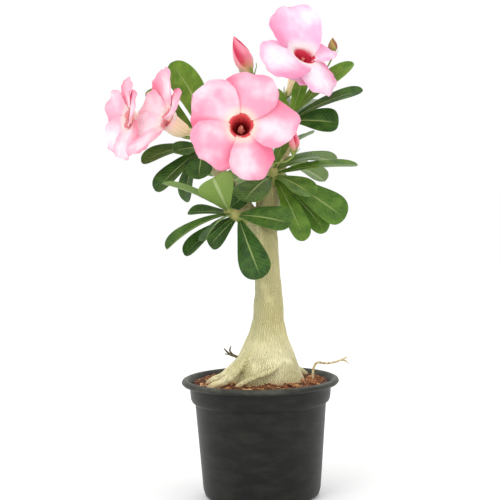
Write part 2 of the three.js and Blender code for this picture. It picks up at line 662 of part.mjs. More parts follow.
// Petals: [direction round the bloom, cup, length, half width, curl], in degrees and millimetres.
const BLOOMS = {
  bloom_front: {
    throat: [-12, -60, 311],
    facing: [0.02, -1, 0.06],
    tube: 36,
    taper: 0.7,
    petals: [[73, 6, 41, 25, 14], [146, 2, 41, 26, 10], [216, 4, 39, 24, 16], [287, 0, 41, 20, 18],
      [3, 6, 39, 22, 10]],
    stalk: [[-1.5, 6.1, 325.4], [-2.2, 5, 327.8], [-7, -8, 322]],
  },
  bloom_top: {
    throat: [40.5, -6, 368],
    facing: [0.33, -0.58, 0.74],
    tube: 42,
    taper: 0.28,
    petals: [[106, 38, 44, 30, 14], [202, 6, 48, 23, 12], [238, -10, 27, 13, 30], [289, -18, 36, 23, 16],
      [8, 20, 26, 14, 40]],
    stalk: [[30.1, 9.4, 322.8], [30.4, 9.6, 325]],
  },
  bloom_left_inner: {
    throat: [-74, -2, 318],
    facing: [-0.8, -0.44, 0.4],
    tube: 30,
    taper: 0.6,
    petals: [[104, 26, 41, 21, 8], [164, 26, 34, 18, 14], [218, 28, 34, 18, 16], [272, 32, 43, 16, 12],
      [34, 46, 30, 17, 80]],
    stalk: [[-43, 12.9, 298.7], [-42.6, 12.4, 301]],
  },
  bloom_left_outer: {
    throat: [-107.8, 28, 318.4],
    facing: [-0.89, -0.43, 0.14],
    tube: 34,
    taper: 0.5,
    petals: [[98, 12, 33, 23, 14], [160, 16, 33, 20, 8], [230, 14, 32, 22, 14], [300, 14, 34, 22, 14],
      [32, 38, 30, 21, 64]],
    stalk: [[-41.8, 18.2, 298.7], [-41, 20.8, 300.8], [-62, 33.5, 303]],
  },
};

const BUDS = {
  bud_large: {
    foot: [-4, 5, 353],
    facing: [-0.38, -0.14, 0.92],
    length: 35,
    radius: 7.6,
    stalk: [[-0.8, 10.1, 325.9], [-1.2, 10, 328.8]],
  },
  bud_small: {
    foot: [66, 26, 371],
    facing: [0, -0.1, 1],
    length: 13,
    radius: 4,
    stalk: [[30.8, 13.2, 322.4], [31.6, 14.4, 325], [50, 30, 342]],
  },
  bud_hidden: {
    foot: [30.5, -11, 289],
    facing: [0.1, 0, 1],
    length: 17,
    radius: 4.5,
    stalk: [[14.4, -5.6, 277.2], [15.3, -7.2, 279.6], [24, -12, 281]],
  },
};

// ---------------------------------------------------------------- the whole plant

const plant = new THREE.Group();
plant.add(piece("pot", geometryOf(potSolid()), COLOURS.pot, 0.5));
plant.add(piece("soil", geometryOf(soilSolid()), COLOURS.soil, 0.95));
plant.add(piece("trunk", geometryOf(trunkSolid()), COLOURS.bark, 0.8));
plant.add(piece("dry_root", geometryOf(dryRootSolid()), COLOURS.twig, 0.8));
for (const [name, rosette] of Object.entries(ROSETTES)) {
  const leaves = rosetteSolid(BRANCHES[name], rosette);
  plant.add(piece(`leaves_${name}`, geometryOf(leaves), COLOURS.leaf, 0.45));
}
for (const [name, made] of Object.entries(BLOOMS)) {
  plant.add(bloom(name, made));
}
for (const [name, made] of Object.entries(BUDS)) {
  plant.add(bud(name, made));
}

export default plant;
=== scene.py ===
# %% [markdown]
# # A potted desert rose
# The packed model is a frame of plain, faceted solids at their real size. Here every solid that shows
# its facets is replaced by a finer piece in the same place, and every piece gets a finish of its own.
# Blender works in metres. The plant's own sizes are easier to read in millimetres, so each mesh is
# modelled in millimetres and scaled by MM once, when it becomes a piece.

# %% Load the frame
import math
import random

import bmesh
import bpy
from mathutils import Matrix, Quaternion, Vector, noise
from mathutils.bvhtree import BVHTree


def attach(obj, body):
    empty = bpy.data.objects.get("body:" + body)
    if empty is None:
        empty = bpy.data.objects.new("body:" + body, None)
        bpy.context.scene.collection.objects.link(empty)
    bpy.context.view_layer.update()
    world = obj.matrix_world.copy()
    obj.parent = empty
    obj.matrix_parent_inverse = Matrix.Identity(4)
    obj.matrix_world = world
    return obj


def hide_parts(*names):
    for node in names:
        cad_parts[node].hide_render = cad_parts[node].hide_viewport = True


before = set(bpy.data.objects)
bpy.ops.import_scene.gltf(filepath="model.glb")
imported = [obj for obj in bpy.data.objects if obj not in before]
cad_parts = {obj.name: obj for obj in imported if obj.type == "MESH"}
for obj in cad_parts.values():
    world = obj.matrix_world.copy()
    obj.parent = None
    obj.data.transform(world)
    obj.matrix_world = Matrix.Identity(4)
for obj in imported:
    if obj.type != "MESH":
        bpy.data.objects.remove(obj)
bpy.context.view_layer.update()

MM = 0.001
scene = bpy.context.scene

# %% [markdown]
# ## Camera
# A long lens from 1.3 m away, a little above the blooms and tipped down by a few degrees, shows the
# plant with hardly any perspective, as a catalogue does. A quaternion from `to_track_quat` aims the
# camera without a constraint, and a second one rolls it by a degree.

# %% Camera
PICTURE_PIXELS = 500
FOCAL_PIXELS = 1557
CAMERA_DISTANCE = 1.3
CAMERA_PITCH = math.radians(4.3)
CAMERA_ROLL = math.radians(-1.0)
CAMERA_TARGET = Vector((-0.00675, 0, 0.2076))
SENSOR_WIDTH = 36

lens = bpy.data.cameras.new("camera")
lens.sensor_width = SENSOR_WIDTH
lens.lens = SENSOR_WIDTH * FOCAL_PIXELS / PICTURE_PIXELS
camera = bpy.data.objects.new("camera", lens)
scene.collection.objects.link(camera)
backwards = Vector((0, -math.cos(CAMERA_PITCH), math.sin(CAMERA_PITCH)))
camera.location = CAMERA_TARGET + CAMERA_DISTANCE * backwards
aim = (-backwards).to_track_quat("-Z", "Y") @ Quaternion((0, 0, 1), CAMERA_ROLL)
camera.rotation_euler = aim.to_euler()
scene.camera = camera
print("camera:", round(lens.lens, 1), "mm lens at", [round(x, 3) for x in camera.location])

# %% [markdown]
# ## Shader maths in plain Python
# A material in Blender is a web of nodes, and sums made of nodes are hard to read. `Wire` stands for one
# node's output and overloads the arithmetic operators, so `1 - mask * 2` adds the Math nodes by itself.
# They could be added one by one instead, at four lines for each sum.


# %% Wire
def sum_of(operation, swapped=False):
    """An operator between a wire and another wire or a number."""
    return lambda one, other: one.maths(operation, *((other, one) if swapped else (one, other)))


class Wire:
    """An output of one of a material's nodes, for use in sums."""

    def __init__(self, paint, socket):
        self.paint = paint
        self.socket = socket

    def maths(self, operation, *values):
        return self.paint.node("ShaderNodeMath", {"operation": operation}, dict(enumerate(values)))

    __add__ = __radd__ = sum_of("ADD")
    __mul__ = __rmul__ = sum_of("MULTIPLY")
    __sub__ = sum_of("SUBTRACT")
    __rsub__ = sum_of("SUBTRACT", swapped=True)
    __mod__ = sum_of("FLOORED_MODULO")

    def __abs__(self):
        return self.maths("ABSOLUTE", self)

    def ramp(self, low, high):
        """0 below low, 1 above high and a smooth rise between. It falls instead where low is above high."""
        if low > high:
            return 1 - self.ramp(high, low)
        settings = {"interpolation_type": "SMOOTHSTEP"}
        return self.paint.node("ShaderNodeMapRange", settings, {0: self, 1: low, 2: high})

    def lines(self, width):
        """1 along the middle of each whole step of this value, falling to 0 at width to either side."""
        return abs(self % 1 - 0.5).ramp(width, 0)


print("sums:", ", ".join(name for name in vars(Wire) if name not in dir(object)))

# %% [markdown]
# ## Finishes
# `Paint` is one material. Its `node` method adds any node: it takes the node's type, its settings and
# what goes into its sockets. The other methods name the nodes that nearly every finish needs. Patterns
# are worked out on the piece itself, so no pictures have to be kept with the part.


# %% Paint
class Paint:
    """A material on the Principled shader."""

    def __init__(self, name, fixed):
        self.material = bpy.data.materials.new(name)
        self.material.use_nodes = True
        self.tree = self.material.node_tree
        self.shader = self.tree.nodes["Principled BSDF"]
        for socket, value in fixed.items():
            self.shader.inputs[socket].default_value = value

    def node(self, kind, settings=None, inputs=None, output=0):
        made = self.tree.nodes.new(kind)
        for setting, value in (settings or {}).items():
            setattr(made, setting, value)
        for socket, value in (inputs or {}).items():
            if isinstance(value, Wire):
                self.tree.links.new(value.socket, made.inputs[socket])
            else:
                made.inputs[socket].default_value = value
        return Wire(self, made.outputs[output])

    def place(self, stretch=(1, 1, 1)):
        """The point on the piece, in metres times stretch."""
        here = self.node("ShaderNodeTexCoord", output="Object")
        return self.node("ShaderNodeMapping", None, {"Vector": here, "Scale": stretch})

    def blade(self, stretch=(1, 1, 1)):
        """The piece's own map: how far along a blade or tube, then how far across or round it."""
        here = self.node("ShaderNodeUVMap", {"uv_map": "along_across"})
        return self.node("ShaderNodeMapping", None, {"Vector": here, "Scale": stretch})

    def split(self, where):
        """The three coordinates of a point."""
        parts = self.node("ShaderNodeSeparateXYZ", None, {0: where}).socket.node.outputs
        return [Wire(self, part) for part in parts]

    def along_across(self):
        return self.split(self.blade())[:2]

    def attribute(self, name):
        return self.node("ShaderNodeAttribute", {"attribute_name": name}, output="Fac")

    def noise(self, scale, detail=3, rough=0.5, stretch=(1, 1, 1), where=None):
        where = where or self.place(stretch)
        inputs = {"Vector": where, "Scale": scale, "Detail": detail, "Roughness": rough}
        return self.node("ShaderNodeTexNoise", None, inputs)

    def feed(self, socket, wire):
        self.tree.links.new(wire.socket, self.shader.inputs[socket])

    def colour(self, wire, painted_glow=False):
        self.feed("Base Color", wire)
        # The same colour as a painted glow.
        if painted_glow:
            self.feed("Emission Color", wire)

    def relief(self, height, depth):
        """Raises and sinks the surface by height times depth, in millimetres."""
        bump = self.node("ShaderNodeBump", None, {"Height": height, "Distance": depth * MM})
        self.feed("Normal", bump)


def mix(factor, first, second):
    """The first colour where the factor is 0, the second where it is 1."""
    return factor.paint.node("ShaderNodeMix", {"data_type": "RGBA"}, {0: factor, 6: first, 7: second}, 2)


def srgb(red, green, blue):
    """A colour as a picture editor shows it, 0 to 255, as the linear colour that a shader needs."""
    linear = [((x / 255 + 0.055) / 1.055) ** 2.4 if x > 10 else x / 255 / 12.92 for x in (red, green, blue)]
    return (*linear, 1)


print("a mid grey of 128 is", round(srgb(128, 128, 128)[0], 3), "in linear light")

# %% [markdown]
# ## Floor and light
# A pale floor so wide that its edge is never seen, a white surrounding, and large soft lamps: a key light
# high at the front left, a weaker one at the right, and one behind that shines through petals and leaves.

# %% Floor and light
FLOOR_RADIUS = 6.0
FLOOR_SEGMENTS = 96
FLOOR_LEVEL = -0.2 * MM
LAMPS = {  # place, side of the square in metres, watts
    "key": ((-0.8, -1.3, 1.3), 0.9, 8),
    "fill": ((1.2, -0.9, 0.7), 1.0, 2),
    "back": ((0.3, 1.3, 1.2), 1.0, 4),
}

floor_paint = Paint("pale_floor", {"Base Color": (1, 1, 1, 1), "Roughness": 1, "Specular IOR Level": 0})
bm = bmesh.new()
bmesh.ops.create_circle(bm, cap_ends=True, segments=FLOOR_SEGMENTS, radius=FLOOR_RADIUS)
bmesh.ops.translate(bm, verts=bm.verts, vec=(0, 0, FLOOR_LEVEL))
floor_mesh = bpy.data.meshes.new("floor")
bm.to_mesh(floor_mesh)
bm.free()
floor_mesh.materials.append(floor_paint.material)
floor = bpy.data.objects.new("floor", floor_mesh)
scene.collection.objects.link(floor)

for name, (place, size, watts) in LAMPS.items():
    lamp = bpy.data.lights.new(name, "AREA")
    lamp.size = size
    lamp.energy = watts
    holder = bpy.data.objects.new(name, lamp)
    holder.location = place
    holder.rotation_euler = (CAMERA_TARGET - holder.location).to_track_quat("-Z", "Y").to_euler()
    scene.collection.objects.link(holder)

world = bpy.data.worlds.new("studio")
world.use_nodes = True
world.node_tree.nodes["Background"].inputs["Color"].default_value = (1, 1, 1, 1)
world.node_tree.nodes["Background"].inputs["Strength"].default_value = 1.0
scene.world = world
scene.view_settings.view_transform = "Standard"
print("lamps:", ", ".join(LAMPS))

# %% [markdown]
# ## From a bmesh to a piece
# Every piece goes the same way: its bmesh is scaled from millimetres to metres, becomes a mesh on an
# object at the origin, rides on the body, and hides the frame's node that it stands for.
# Thin parts are modelled as sheets, and a modifier gives them their thickness.


# %% Pieces
def new_bmesh():
    bm = bmesh.new()
    bm.loops.layers.uv.new("along_across")
    bm.verts.layers.float.new("tint")
    return bm


def finished(bm, name, node, paints, place=Matrix()):
    """The bmesh, moved to its place, as a smooth-shaded piece that stands for the CAD node."""
    bm.transform(place)
    bmesh.ops.scale(bm, verts=bm.verts, vec=(MM, MM, MM))
    mesh = bpy.data.meshes.new(name)
    bm.to_mesh(mesh)
    bm.free()
    mesh.shade_smooth()
    for paint in paints:
        mesh.materials.append(paint.material)
    piece = bpy.data.objects.new(name, mesh)
    scene.collection.objects.link(piece)
    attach(piece, "root")
    if node:
        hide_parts(node)
    return piece


def thicken(piece, thickness, smooth=0, inner_slot=0):
    """Gives a sheet its thickness, half to each side, and rounds its edge by subdivision."""
    wall = piece.modifiers.new("thickness", "SOLIDIFY")
    wall.thickness = thickness * MM
    wall.offset = 0
    wall.material_offset = inner_slot
    if smooth:
        finer = piece.modifiers.new("finer", "SUBSURF")
        finer.levels = smooth
        finer.render_levels = smooth


print("pieces are modelled in millimetres, then scaled by", MM)

# %% [markdown]
# ## Bent grids
# Leaves, petals, tubes and buds are all grids bent to shape, some with two edges joined. Blender gives
# the grid a UV map before it is bent, so each point still knows how far along and across it lies, and
# the finishes can paint veins and stripes on it. A loft of curves would lose that map.


# %% Bent grids
WELD = 0.001


def add(bm, part, tint):
    """Adds a small bmesh to a larger one, with one tint all over."""
    layer = part.verts.layers.float["tint"]
    for vert in part.verts:
        vert[layer] = tint
    carrier = bpy.data.meshes.new("carrier")
    part.to_mesh(carrier)
    part.free()
    bm.from_mesh(carrier)
    bpy.data.meshes.remove(carrier)


def bent_grid(rows, columns, place):
    """A grid with each point moved to place(u, w), u from 0 to 1 and w from -0.5 to 0.5."""
    part = new_bmesh()
    bmesh.ops.create_grid(part, x_segments=rows, y_segments=columns, size=0.5, calc_uvs=True)
    for vert in part.verts:
        vert.co = place(min(max(vert.co.x + 0.5, 0), 1), vert.co.y)
    bmesh.ops.remove_doubles(part, verts=part.verts, dist=WELD)
    return part


def add_sheet(bm, rows, columns, place, tint=0.0):
    """A sheet of rows by columns. place(u, v) gives each point, u from 0 to 1 and v from -1 to 1."""
    add(bm, bent_grid(rows, columns, lambda u, w: place(u, 2 * w)), tint)


def add_rolled(bm, rows, sides, place, tint=0.0):
    """A closed skin round an axis. place(u, turn) gives each point, turn from 0 to a full turn."""
    part = bent_grid(rows, sides, lambda u, w: place(u, math.tau * (w + 0.5)))
    bmesh.ops.holes_fill(part, edges=[edge for edge in part.edges if edge.is_boundary], sides=0)
    bmesh.ops.recalc_face_normals(part, faces=part.faces)
    add(bm, part, tint)


def around(radius, turn, height=0):
    """The point at that turn and height on a circle about the Z axis."""
    return Vector((radius * math.cos(turn), radius * math.sin(turn), height))


print("a full turn ends at", [round(x, 3) for x in around(1, math.tau)])

# %% [markdown]
# ## Paths and tubes
# Stems, roots and fibres are limbs that bend and taper. A few stops with a radius each say where a limb
# runs, a smooth line joins them, and the skin is rolled round the line. Blender's own curves could do
# it too, but a path in plain Python can also be asked for its points and headings.


# %% Paths and tubes
class Path:
    """A smooth line through stops: centripetal Catmull-Rom, which never loops between close stops.
    A stop may hold more than a place, such as a radius after it."""

    def __init__(self, stops, steps=12):
        stops = [Vector(stop) for stop in stops]
        ends = [2 * stops[0] - stops[1], *stops, 2 * stops[-1] - stops[-2]]
        self.points = []
        for p0, p1, p2, p3 in zip(ends, ends[1:], ends[2:], ends[3:]):
            d0, d1, d2 = [max((b - a).length, 1e-4) ** 0.5 for a, b in ((p0, p1), (p1, p2), (p2, p3))]
            t1 = ((p1 - p0) / d0 - (p2 - p0) / (d0 + d1) + (p2 - p1) / d1) * d1
            t2 = ((p2 - p1) / d1 - (p3 - p1) / (d1 + d2) + (p3 - p2) / d2) * d1
            for i in range(steps):
                t = i / steps
                cubic = (2 * p1 - 2 * p2 + t1 + t2) * t ** 3
                self.points.append(cubic + (3 * p2 - 3 * p1 - 2 * t1 - t2) * t ** 2 + t1 * t + p1)
        self.points.append(stops[-1])
        self.marks = [0.0]
        for a, b in zip(self.points, self.points[1:]):
            self.marks.append(self.marks[-1] + (b - a).length)

    def at(self, share):
        """The point at that share of the line's length."""
        goal = share * self.marks[-1]
        i = next((i for i, mark in enumerate(self.marks[1:]) if mark >= goal), len(self.marks) - 2)
        step = self.marks[i + 1] - self.marks[i]
        return self.points[i].lerp(self.points[i + 1], (goal - self.marks[i]) / step)

    def heading(self, share):
        return (self.at(min(share + 0.01, 1)) - self.at(max(share - 0.01, 0))).normalized()


def add_tube(bm, stops, sides=16, steps=6, spacing=None, bumps=0.0, tint=0.0):
    """A round limb with closed ends through stops of x, y, z and radius."""
    path = Path(stops, steps)
    rows = len(path.points) - 1 if spacing is None else max(2, round(path.marks[-1] / spacing))
    side_way = path.heading(0).to_3d().orthogonal().normalized()
    rings = []
    for row in range(rows + 1):
        share = row / rows
        centre = path.at(share)
        forward = Vector(path.heading(share)[:3]).normalized()
        side_way = (side_way - forward * side_way.dot(forward)).normalized()
        rings.append((Vector(centre[:3]), centre[3], side_way.copy(), forward.cross(side_way)))

    def place(u, turn):
        centre, radius, across, up = rings[round(u * rows)]
        point = centre + radius * (math.cos(turn) * across + math.sin(turn) * up)
        return point + bumps * (point - centre).normalized() * noise.noise(point * 0.6)

    add_rolled(bm, rows, sides, place, tint)


print("three stops on a quarter turn:", round(Path([(1, 0), (0.7, 0.7), (0, 1)]).marks[-1], 3), "long")

# %% [markdown]
# ## Pot
# A nursery pot is blown or injected in one piece of thin black plastic. Its outline is a few points of
# a section, and `spin` turns them once round the axis. A lathe of this kind needs far fewer numbers than
# stacked cones, and the wall and the rolled lip come out of the same section.

# %% Pot
POT_SECTION = [  # radius, height: out along the base, up the outside, over the lip and down the inside
    (0, 0), (44.5, 0), (48.1, 2.2), (49.5, 7), (54.95, 79), (57.5, 81.2), (58.5, 83.5),
    (58.9, 88), (59, 88.4), (59.3, 94.9), (64.6, 95.2), (65.9, 96.6), (66, 97.4), (65.2, 99.1), (63.4, 100),
    (61.6, 99.8), (60.5, 98.8), (57.4, 94), (57, 83.5), (53.5, 79.6), (48, 7), (45, 1.5), (0, 1.5),
]
POT_STEPS = 128
POT_WELD = 0.01

plastic = Paint("pot_plastic", {"Specular IOR Level": 0.2})
level = plastic.split(plastic.place())[2]
blotch_noise = plastic.noise(40, 5, 0.65, stretch=(1, 1, 2.5))
bands = plastic.noise(60, 3, 0.6, stretch=(1, 1, 14))
grain = plastic.noise(1500, 2)
# Dust and a painted sheen: a grey haze over the black plastic in blotches, greyest on the lip, which is
# scuffed and has a painted reflection.
lip_scuffs_and_sheen = level.ramp(94 * MM, 99.5 * MM)
dust_and_sheen = (blotch_noise.ramp(0.35, 0.75) * 0.4 + 0.12) * (0.16 + 0.9 * lip_scuffs_and_sheen)
plastic.colour(mix(dust_and_sheen, srgb(12, 15, 13), srgb(124, 124, 110)))
plastic.feed("Roughness", 0.36 + 0.14 * bands + 0.25 * dust_and_sheen)
plastic.relief(0.6 * grain + 0.5 * bands + blotch_noise, 0.05)

bm = new_bmesh()
profile = [bm.verts.new((radius, 0, z)) for radius, z in POT_SECTION]
for a, b in zip(profile, profile[1:]):
    bm.edges.new((a, b))
bmesh.ops.spin(bm, geom=bm.verts[:] + bm.edges[:], cent=(0, 0, 0), axis=(0, 0, 1), dvec=(0, 0, 0),
               angle=math.tau, steps=POT_STEPS, use_merge=True, use_duplicate=False)
bmesh.ops.remove_doubles(bm, verts=bm.verts, dist=POT_WELD)
bmesh.ops.recalc_face_normals(bm, faces=bm.faces)
pot = finished(bm, "nursery_pot", "pot", [plastic])
print("pot:", len(pot.data.polygons), "faces before its holes")

# %% [markdown]
# ## Drain holes
# Water leaves a pot through holes in its base, where the mould's pins stood. A Boolean with eight rods
# cuts them all at once, while building each rim from points would take a page. The cut is worked into the
# mesh at once, so the rods can go, and the bevel comes last, over the rims too.

# %% Drain holes
DRAIN_HOLES = 8
DRAIN_RADIUS = 4
DRAIN_CIRCLE = 33
DRAIN_ROD_LENGTH = 8
DRAIN_SIDES = 32
SOFT_EDGE = 0.35
SOFT_EDGE_ANGLE = math.radians(22)

bm = bmesh.new()
for hole in range(DRAIN_HOLES):
    centre = around(DRAIN_CIRCLE, math.tau * hole / DRAIN_HOLES) * MM
    bmesh.ops.create_cone(bm, cap_ends=True, segments=DRAIN_SIDES, radius1=DRAIN_RADIUS * MM,
                          radius2=DRAIN_RADIUS * MM, depth=DRAIN_ROD_LENGTH * MM,
                          matrix=Matrix.Translation(centre))
rod_mesh = bpy.data.meshes.new("drain_rods")
bm.to_mesh(rod_mesh)
bm.free()
rods = bpy.data.objects.new("drain_rods", rod_mesh)
scene.collection.objects.link(rods)
cut = pot.modifiers.new("drain", "BOOLEAN")
cut.operation = "DIFFERENCE"
cut.object = rods


def applied(piece):
    """Works the piece's modifiers into its mesh."""
    bpy.context.view_layer.update()
    shaped = bpy.data.meshes.new_from_object(piece.evaluated_get(bpy.context.evaluated_depsgraph_get()))
    piece.modifiers.clear()
    piece.data = shaped
    return piece


applied(pot)
bpy.data.objects.remove(rods)
soft_edges = pot.modifiers.new("soft_edges", "BEVEL")
soft_edges.width = SOFT_EDGE * MM
soft_edges.segments = 2
soft_edges.limit_method = "ANGLE"
soft_edges.angle_limit = SOFT_EDGE_ANGLE
pot.data.shade_smooth()
print("pot:", len(pot.data.polygons), "faces")

# %% [markdown]
# ## Growing mix
# The pot is filled with coir, the husk of coconuts, chopped small. The frame's plug of mix stays and
# gets an earthy finish, because loose chips will hide its facets. `BVHTree` answers where a straight
# fall lands on the plug, and whether the trunk is in the way. A seed keeps every chip in the same place
# each time.

# %% Growing mix
MIX_RADIUS = 54.5
DROP_HEIGHT = 1000
DOWN = Vector((0, 0, -1))

coir = Paint("coir", {"Roughness": 0.95})
spots = coir.noise(260, 5, 0.7)
coir.colour(mix(spots.ramp(0.35, 0.7), srgb(48, 22, 12), srgb(122, 66, 36)))
coir.relief(coir.noise(700, 4), 1.2)
mix_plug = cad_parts["soil"]
mix_plug.data.materials.clear()
mix_plug.data.materials.append(coir.material)

depsgraph = bpy.context.evaluated_depsgraph_get()
ground = BVHTree.FromObject(mix_plug, depsgraph)
wood = BVHTree.FromObject(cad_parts["trunk"], depsgraph)
dice = random.Random(7)


def landing(reach, keep_clear):
    """A random place on the mix within reach of the middle, in millimetres, and how the mix faces there."""
    while True:
        turn = dice.uniform(0, math.tau)
        start = around(reach * math.sqrt(dice.random()), turn, DROP_HEIGHT) * MM
        point, normal, _, _ = ground.ray_cast(start, DOWN)
        if point is None:
            continue
        trunk_point = wood.ray_cast(start, DOWN)[0]
        covered = trunk_point is not None and trunk_point.z > point.z - 1 * MM
        if not covered or (trunk_point - point).length > keep_clear * MM:
            return point / MM, normal


print("mix: top at", round(max(corner[2] for corner in mix_plug.bound_box) / MM, 1), "mm")

# %% [markdown]
# ## Coir chips
# Chips come in every size from crumbs to flakes a centimetre long. Each is a coarse ball squashed flat
# and roughened, which looks chopped because its faces stay flat. Scattering instances of a few chips
# would be lighter, but then the same shapes would be seen again and again.

# %% Coir chips
CHIP_COUNT = 900
CRUMB_COUNT = 1300
CHIP_KEEP_CLEAR = 9

chip_paint = Paint("coir_chip", {"Roughness": 0.9})
tint = chip_paint.attribute("tint")
grain = chip_paint.noise(500, 4, 0.65, stretch=(1, 1, 3))
brown = mix(tint.ramp(0, 0.55), srgb(66, 36, 20), srgb(158, 98, 56))
tan = mix(tint.ramp(0.5, 1), brown, srgb(232, 188, 134))
chip_paint.colour(mix(0.55 * grain.ramp(0.4, 0.75), tan, srgb(78, 38, 22)))
chip_paint.relief(grain, 0.5)


def drop_chip(bm, size, faces):
    point, normal = landing(MIX_RADIUS - size[0] / 2, CHIP_KEEP_CLEAR)
    lean = Vector((dice.uniform(-1, 1), dice.uniform(-1, 1), 0)) * 0.55
    stand = (normal + lean).to_track_quat("Z", "Y").to_matrix().to_4x4()
    spin = Matrix.Rotation(dice.uniform(0, math.tau), 4, "Z")
    at = Matrix.Translation(point + Vector((0, 0, dice.uniform(0.1, 0.5) * size[2])))
    part = new_bmesh()
    bmesh.ops.create_icosphere(part, subdivisions=faces, radius=0.5)
    for vert in part.verts:
        vert.co *= 1 + 0.3 * dice.uniform(-1, 1)
    part.transform(at @ stand @ spin @ Matrix.Diagonal((*size, 1)))
    pale = dice.random() < 0.05 + 0.1 * (point.x < -30)
    add(bm, part, dice.uniform(0.75, 1) if pale else min(1, max(0, dice.gauss(0.36, 0.22))))


bm = new_bmesh()
for chip in range(CHIP_COUNT):
    length = 2.5 + 8 * dice.random() ** 2.2
    drop_chip(bm, (length, length * dice.uniform(0.35, 0.75), dice.uniform(0.9, 2.2)), 2)
for crumb in range(CRUMB_COUNT):
    length = dice.uniform(0.9, 2.6)
    drop_chip(bm, (length, length * dice.uniform(0.4, 0.9), length * dice.uniform(0.3, 0.6)), 1)
chips = finished(bm, "coir_chips", None, [chip_paint])
chips.data.shade_flat()
print("chips:", len(chips.data.polygons), "faces")

# %% [markdown]
# ## Coir fibres
# The husk's fibres lie between the chips, each bent its own way. Four stops along a shallow arc with a
# hump in the middle make one, as a tube with four sides, because a fibre is thinner than a pixel.

# %% Coir fibres
FIBRE_COUNT = 300
FIBRE_RADIUS = 0.16
FIBRE_LIFT = 0.4
FIBRE_KEEP_CLEAR = 12

fibre_paint = Paint("coir_fibre", {"Roughness": 0.85})
strand = fibre_paint.attribute("tint")
fibre_paint.colour(mix(strand, srgb(94, 48, 26), srgb(190, 132, 84)))
bm = new_bmesh()
for fibre in range(FIBRE_COUNT):
    point, _ = landing(MIX_RADIUS - 4, FIBRE_KEEP_CLEAR)
    heading = dice.uniform(0, math.tau)
    length = dice.uniform(4, 15)
    bend = dice.uniform(-0.8, 0.8)
    stops = []
    for i in range(4):
        share = i / 3 - 0.5
        turn = heading + bend * share
        hump = 1.6 * (0.25 - share ** 2) * dice.uniform(0.4, 3)
        here = point + around(1, turn) * length * share
        reach = math.hypot(here.x, here.y)
        if reach > MIX_RADIUS:
            here *= MIX_RADIUS / reach
        stops.append((here.x, here.y, point.z + FIBRE_LIFT + hump, FIBRE_RADIUS))
    add_tube(bm, stops, sides=4, steps=2, tint=dice.random())
fibres = finished(bm, "coir_fibres", None, [fibre_paint])
print("fibres:", len(fibres.data.polygons), "faces")

# %% [markdown]
# ## Trunk
# The caudex, its roots and the branches grew as one, so they flow into each other with no seams. Each
# limb is a tube through its stops, and the column is a skin whose section is a little lobed towards the
# foot. They only have to run into each other here, because they are melted together afterwards.

# %% Limbs of the trunk
COLUMN = [  # height, centre x, centre y, radius
    (46, 4, 0, 9), (56, 4, 0, 19), (72, 4, 0, 28), (90, 4, -1, 32), (99, 4, -1, 31), (106, 4, -1, 28.5),
    (113, 4.5, -1, 26), (121, 5, 0, 22.8), (130, 6, 0, 18.8), (139, 6.8, 0, 15.4), (149, 7.5, 0, 13.2),
    (163, 8, 0, 12.1), (176, 8, 0, 10.9), (190, 7.5, 0, 10.2), (204, 6.5, 0, 10.4), (216, 5.5, 0, 11),
    (224, 5, 0, 9.5), (226, 5, 0, 5),
]
LOBES_BELOW = 150
ROOTS = [
    [(-7, -12, 124, 3.8), (-15, -22.5, 116, 4.2), (-22, -29.5, 108.5, 4), (-31, -33.5, 101.5, 3.5),
     (-41, -33, 97.5, 2.9), (-46, -29, 89, 1.8)],
    [(-12, -5, 120, 4), (-21, -9, 111, 4.2), (-31, -12, 103, 3.8), (-41, -14, 98.5, 4), (-48, -13, 90, 2.4)],
    [(15, -25, 113, 1.5), (8, -32, 109.5, 2.1), (-4, -34.5, 105.5, 2.1), (-15, -37, 101, 2.2),
     (-24, -38, 95, 1.6)],
    [(14, 14, 116, 4), (26, 20, 106, 4), (38, 26, 98, 3.2), (45, 28, 89, 1.8)],
    [(-2, 18, 117, 4.4), (-8, 30, 105, 4), (-14, 40, 98.5, 3.2), (-18, 48, 89, 1.8)],
]
BRANCHES = {
    "low": [(3, 0, 210, 8.5), (-3, -9, 222, 7.6), (-8, -16, 230, 6.2), (-12, -21.5, 234.5, 5.2)],
    "middle": [(6, 0, 214, 9.5), (9, 2, 236, 8), (11, 2, 252, 6.8), (12, 0, 262, 5.6)],
    "top": [(8, 4, 230, 7), (14, 16, 256, 6.2), (20, 18, 280, 5.8), (26, 14, 300, 5.2), (28, 11, 311, 4.6)],
    "left": [(3, 2, 216, 8), (-10, 10, 242, 7), (-28, 16, 268, 6), (-39, 15.5, 283, 5.2),
             (-42, 15, 288, 4.7)],
    "crest": [(7, 5, 234, 6.6), (3, 12, 262, 5.6), (1, 12, 290, 5), (1, 9, 315, 4.2)],
    "back": [(5, 3, 220, 8), (8, 20, 244, 6.8), (14, 36, 264, 5.8), (17, 43, 274, 5)],
}
LIMB_SIDES = 24
LIMB_SPACING = 2

bm = new_bmesh()
column = Path(COLUMN, 8)


def column_skin(u, turn):
    height, x, y, radius = column.at(u)
    if u in (0, 1):
        radius = 0
    lobe = min(max((LOBES_BELOW - height) / 60, 0), 1)
    flute = 0.055 * math.cos(3 * turn + 0.6) + 0.035 * math.cos(5 * turn - 1.1)
    reach = radius * (1 + lobe * flute)
    return Vector((x + reach * math.cos(turn), y + reach * math.sin(turn), height))


add_rolled(bm, 90, 72, column_skin)
for stops in [*ROOTS, *BRANCHES.values()]:
    add_tube(bm, stops, sides=LIMB_SIDES, spacing=LIMB_SPACING)
limbs = bm
print("limbs:", 1 + len(ROOTS) + len(BRANCHES))

# %% [markdown]
# ## Bark
# The bark is smooth and thin, pale at the caudex and greener above. It stretches as the caudex swells,
# which leaves fine wavy lines down it. An arctangent counts them round the trunk, twice as many round
# the wide caudex as above it, so they follow the trunk up and need no map.

# %% Bark
STRIAE = 46  # lines round the slim part of the trunk

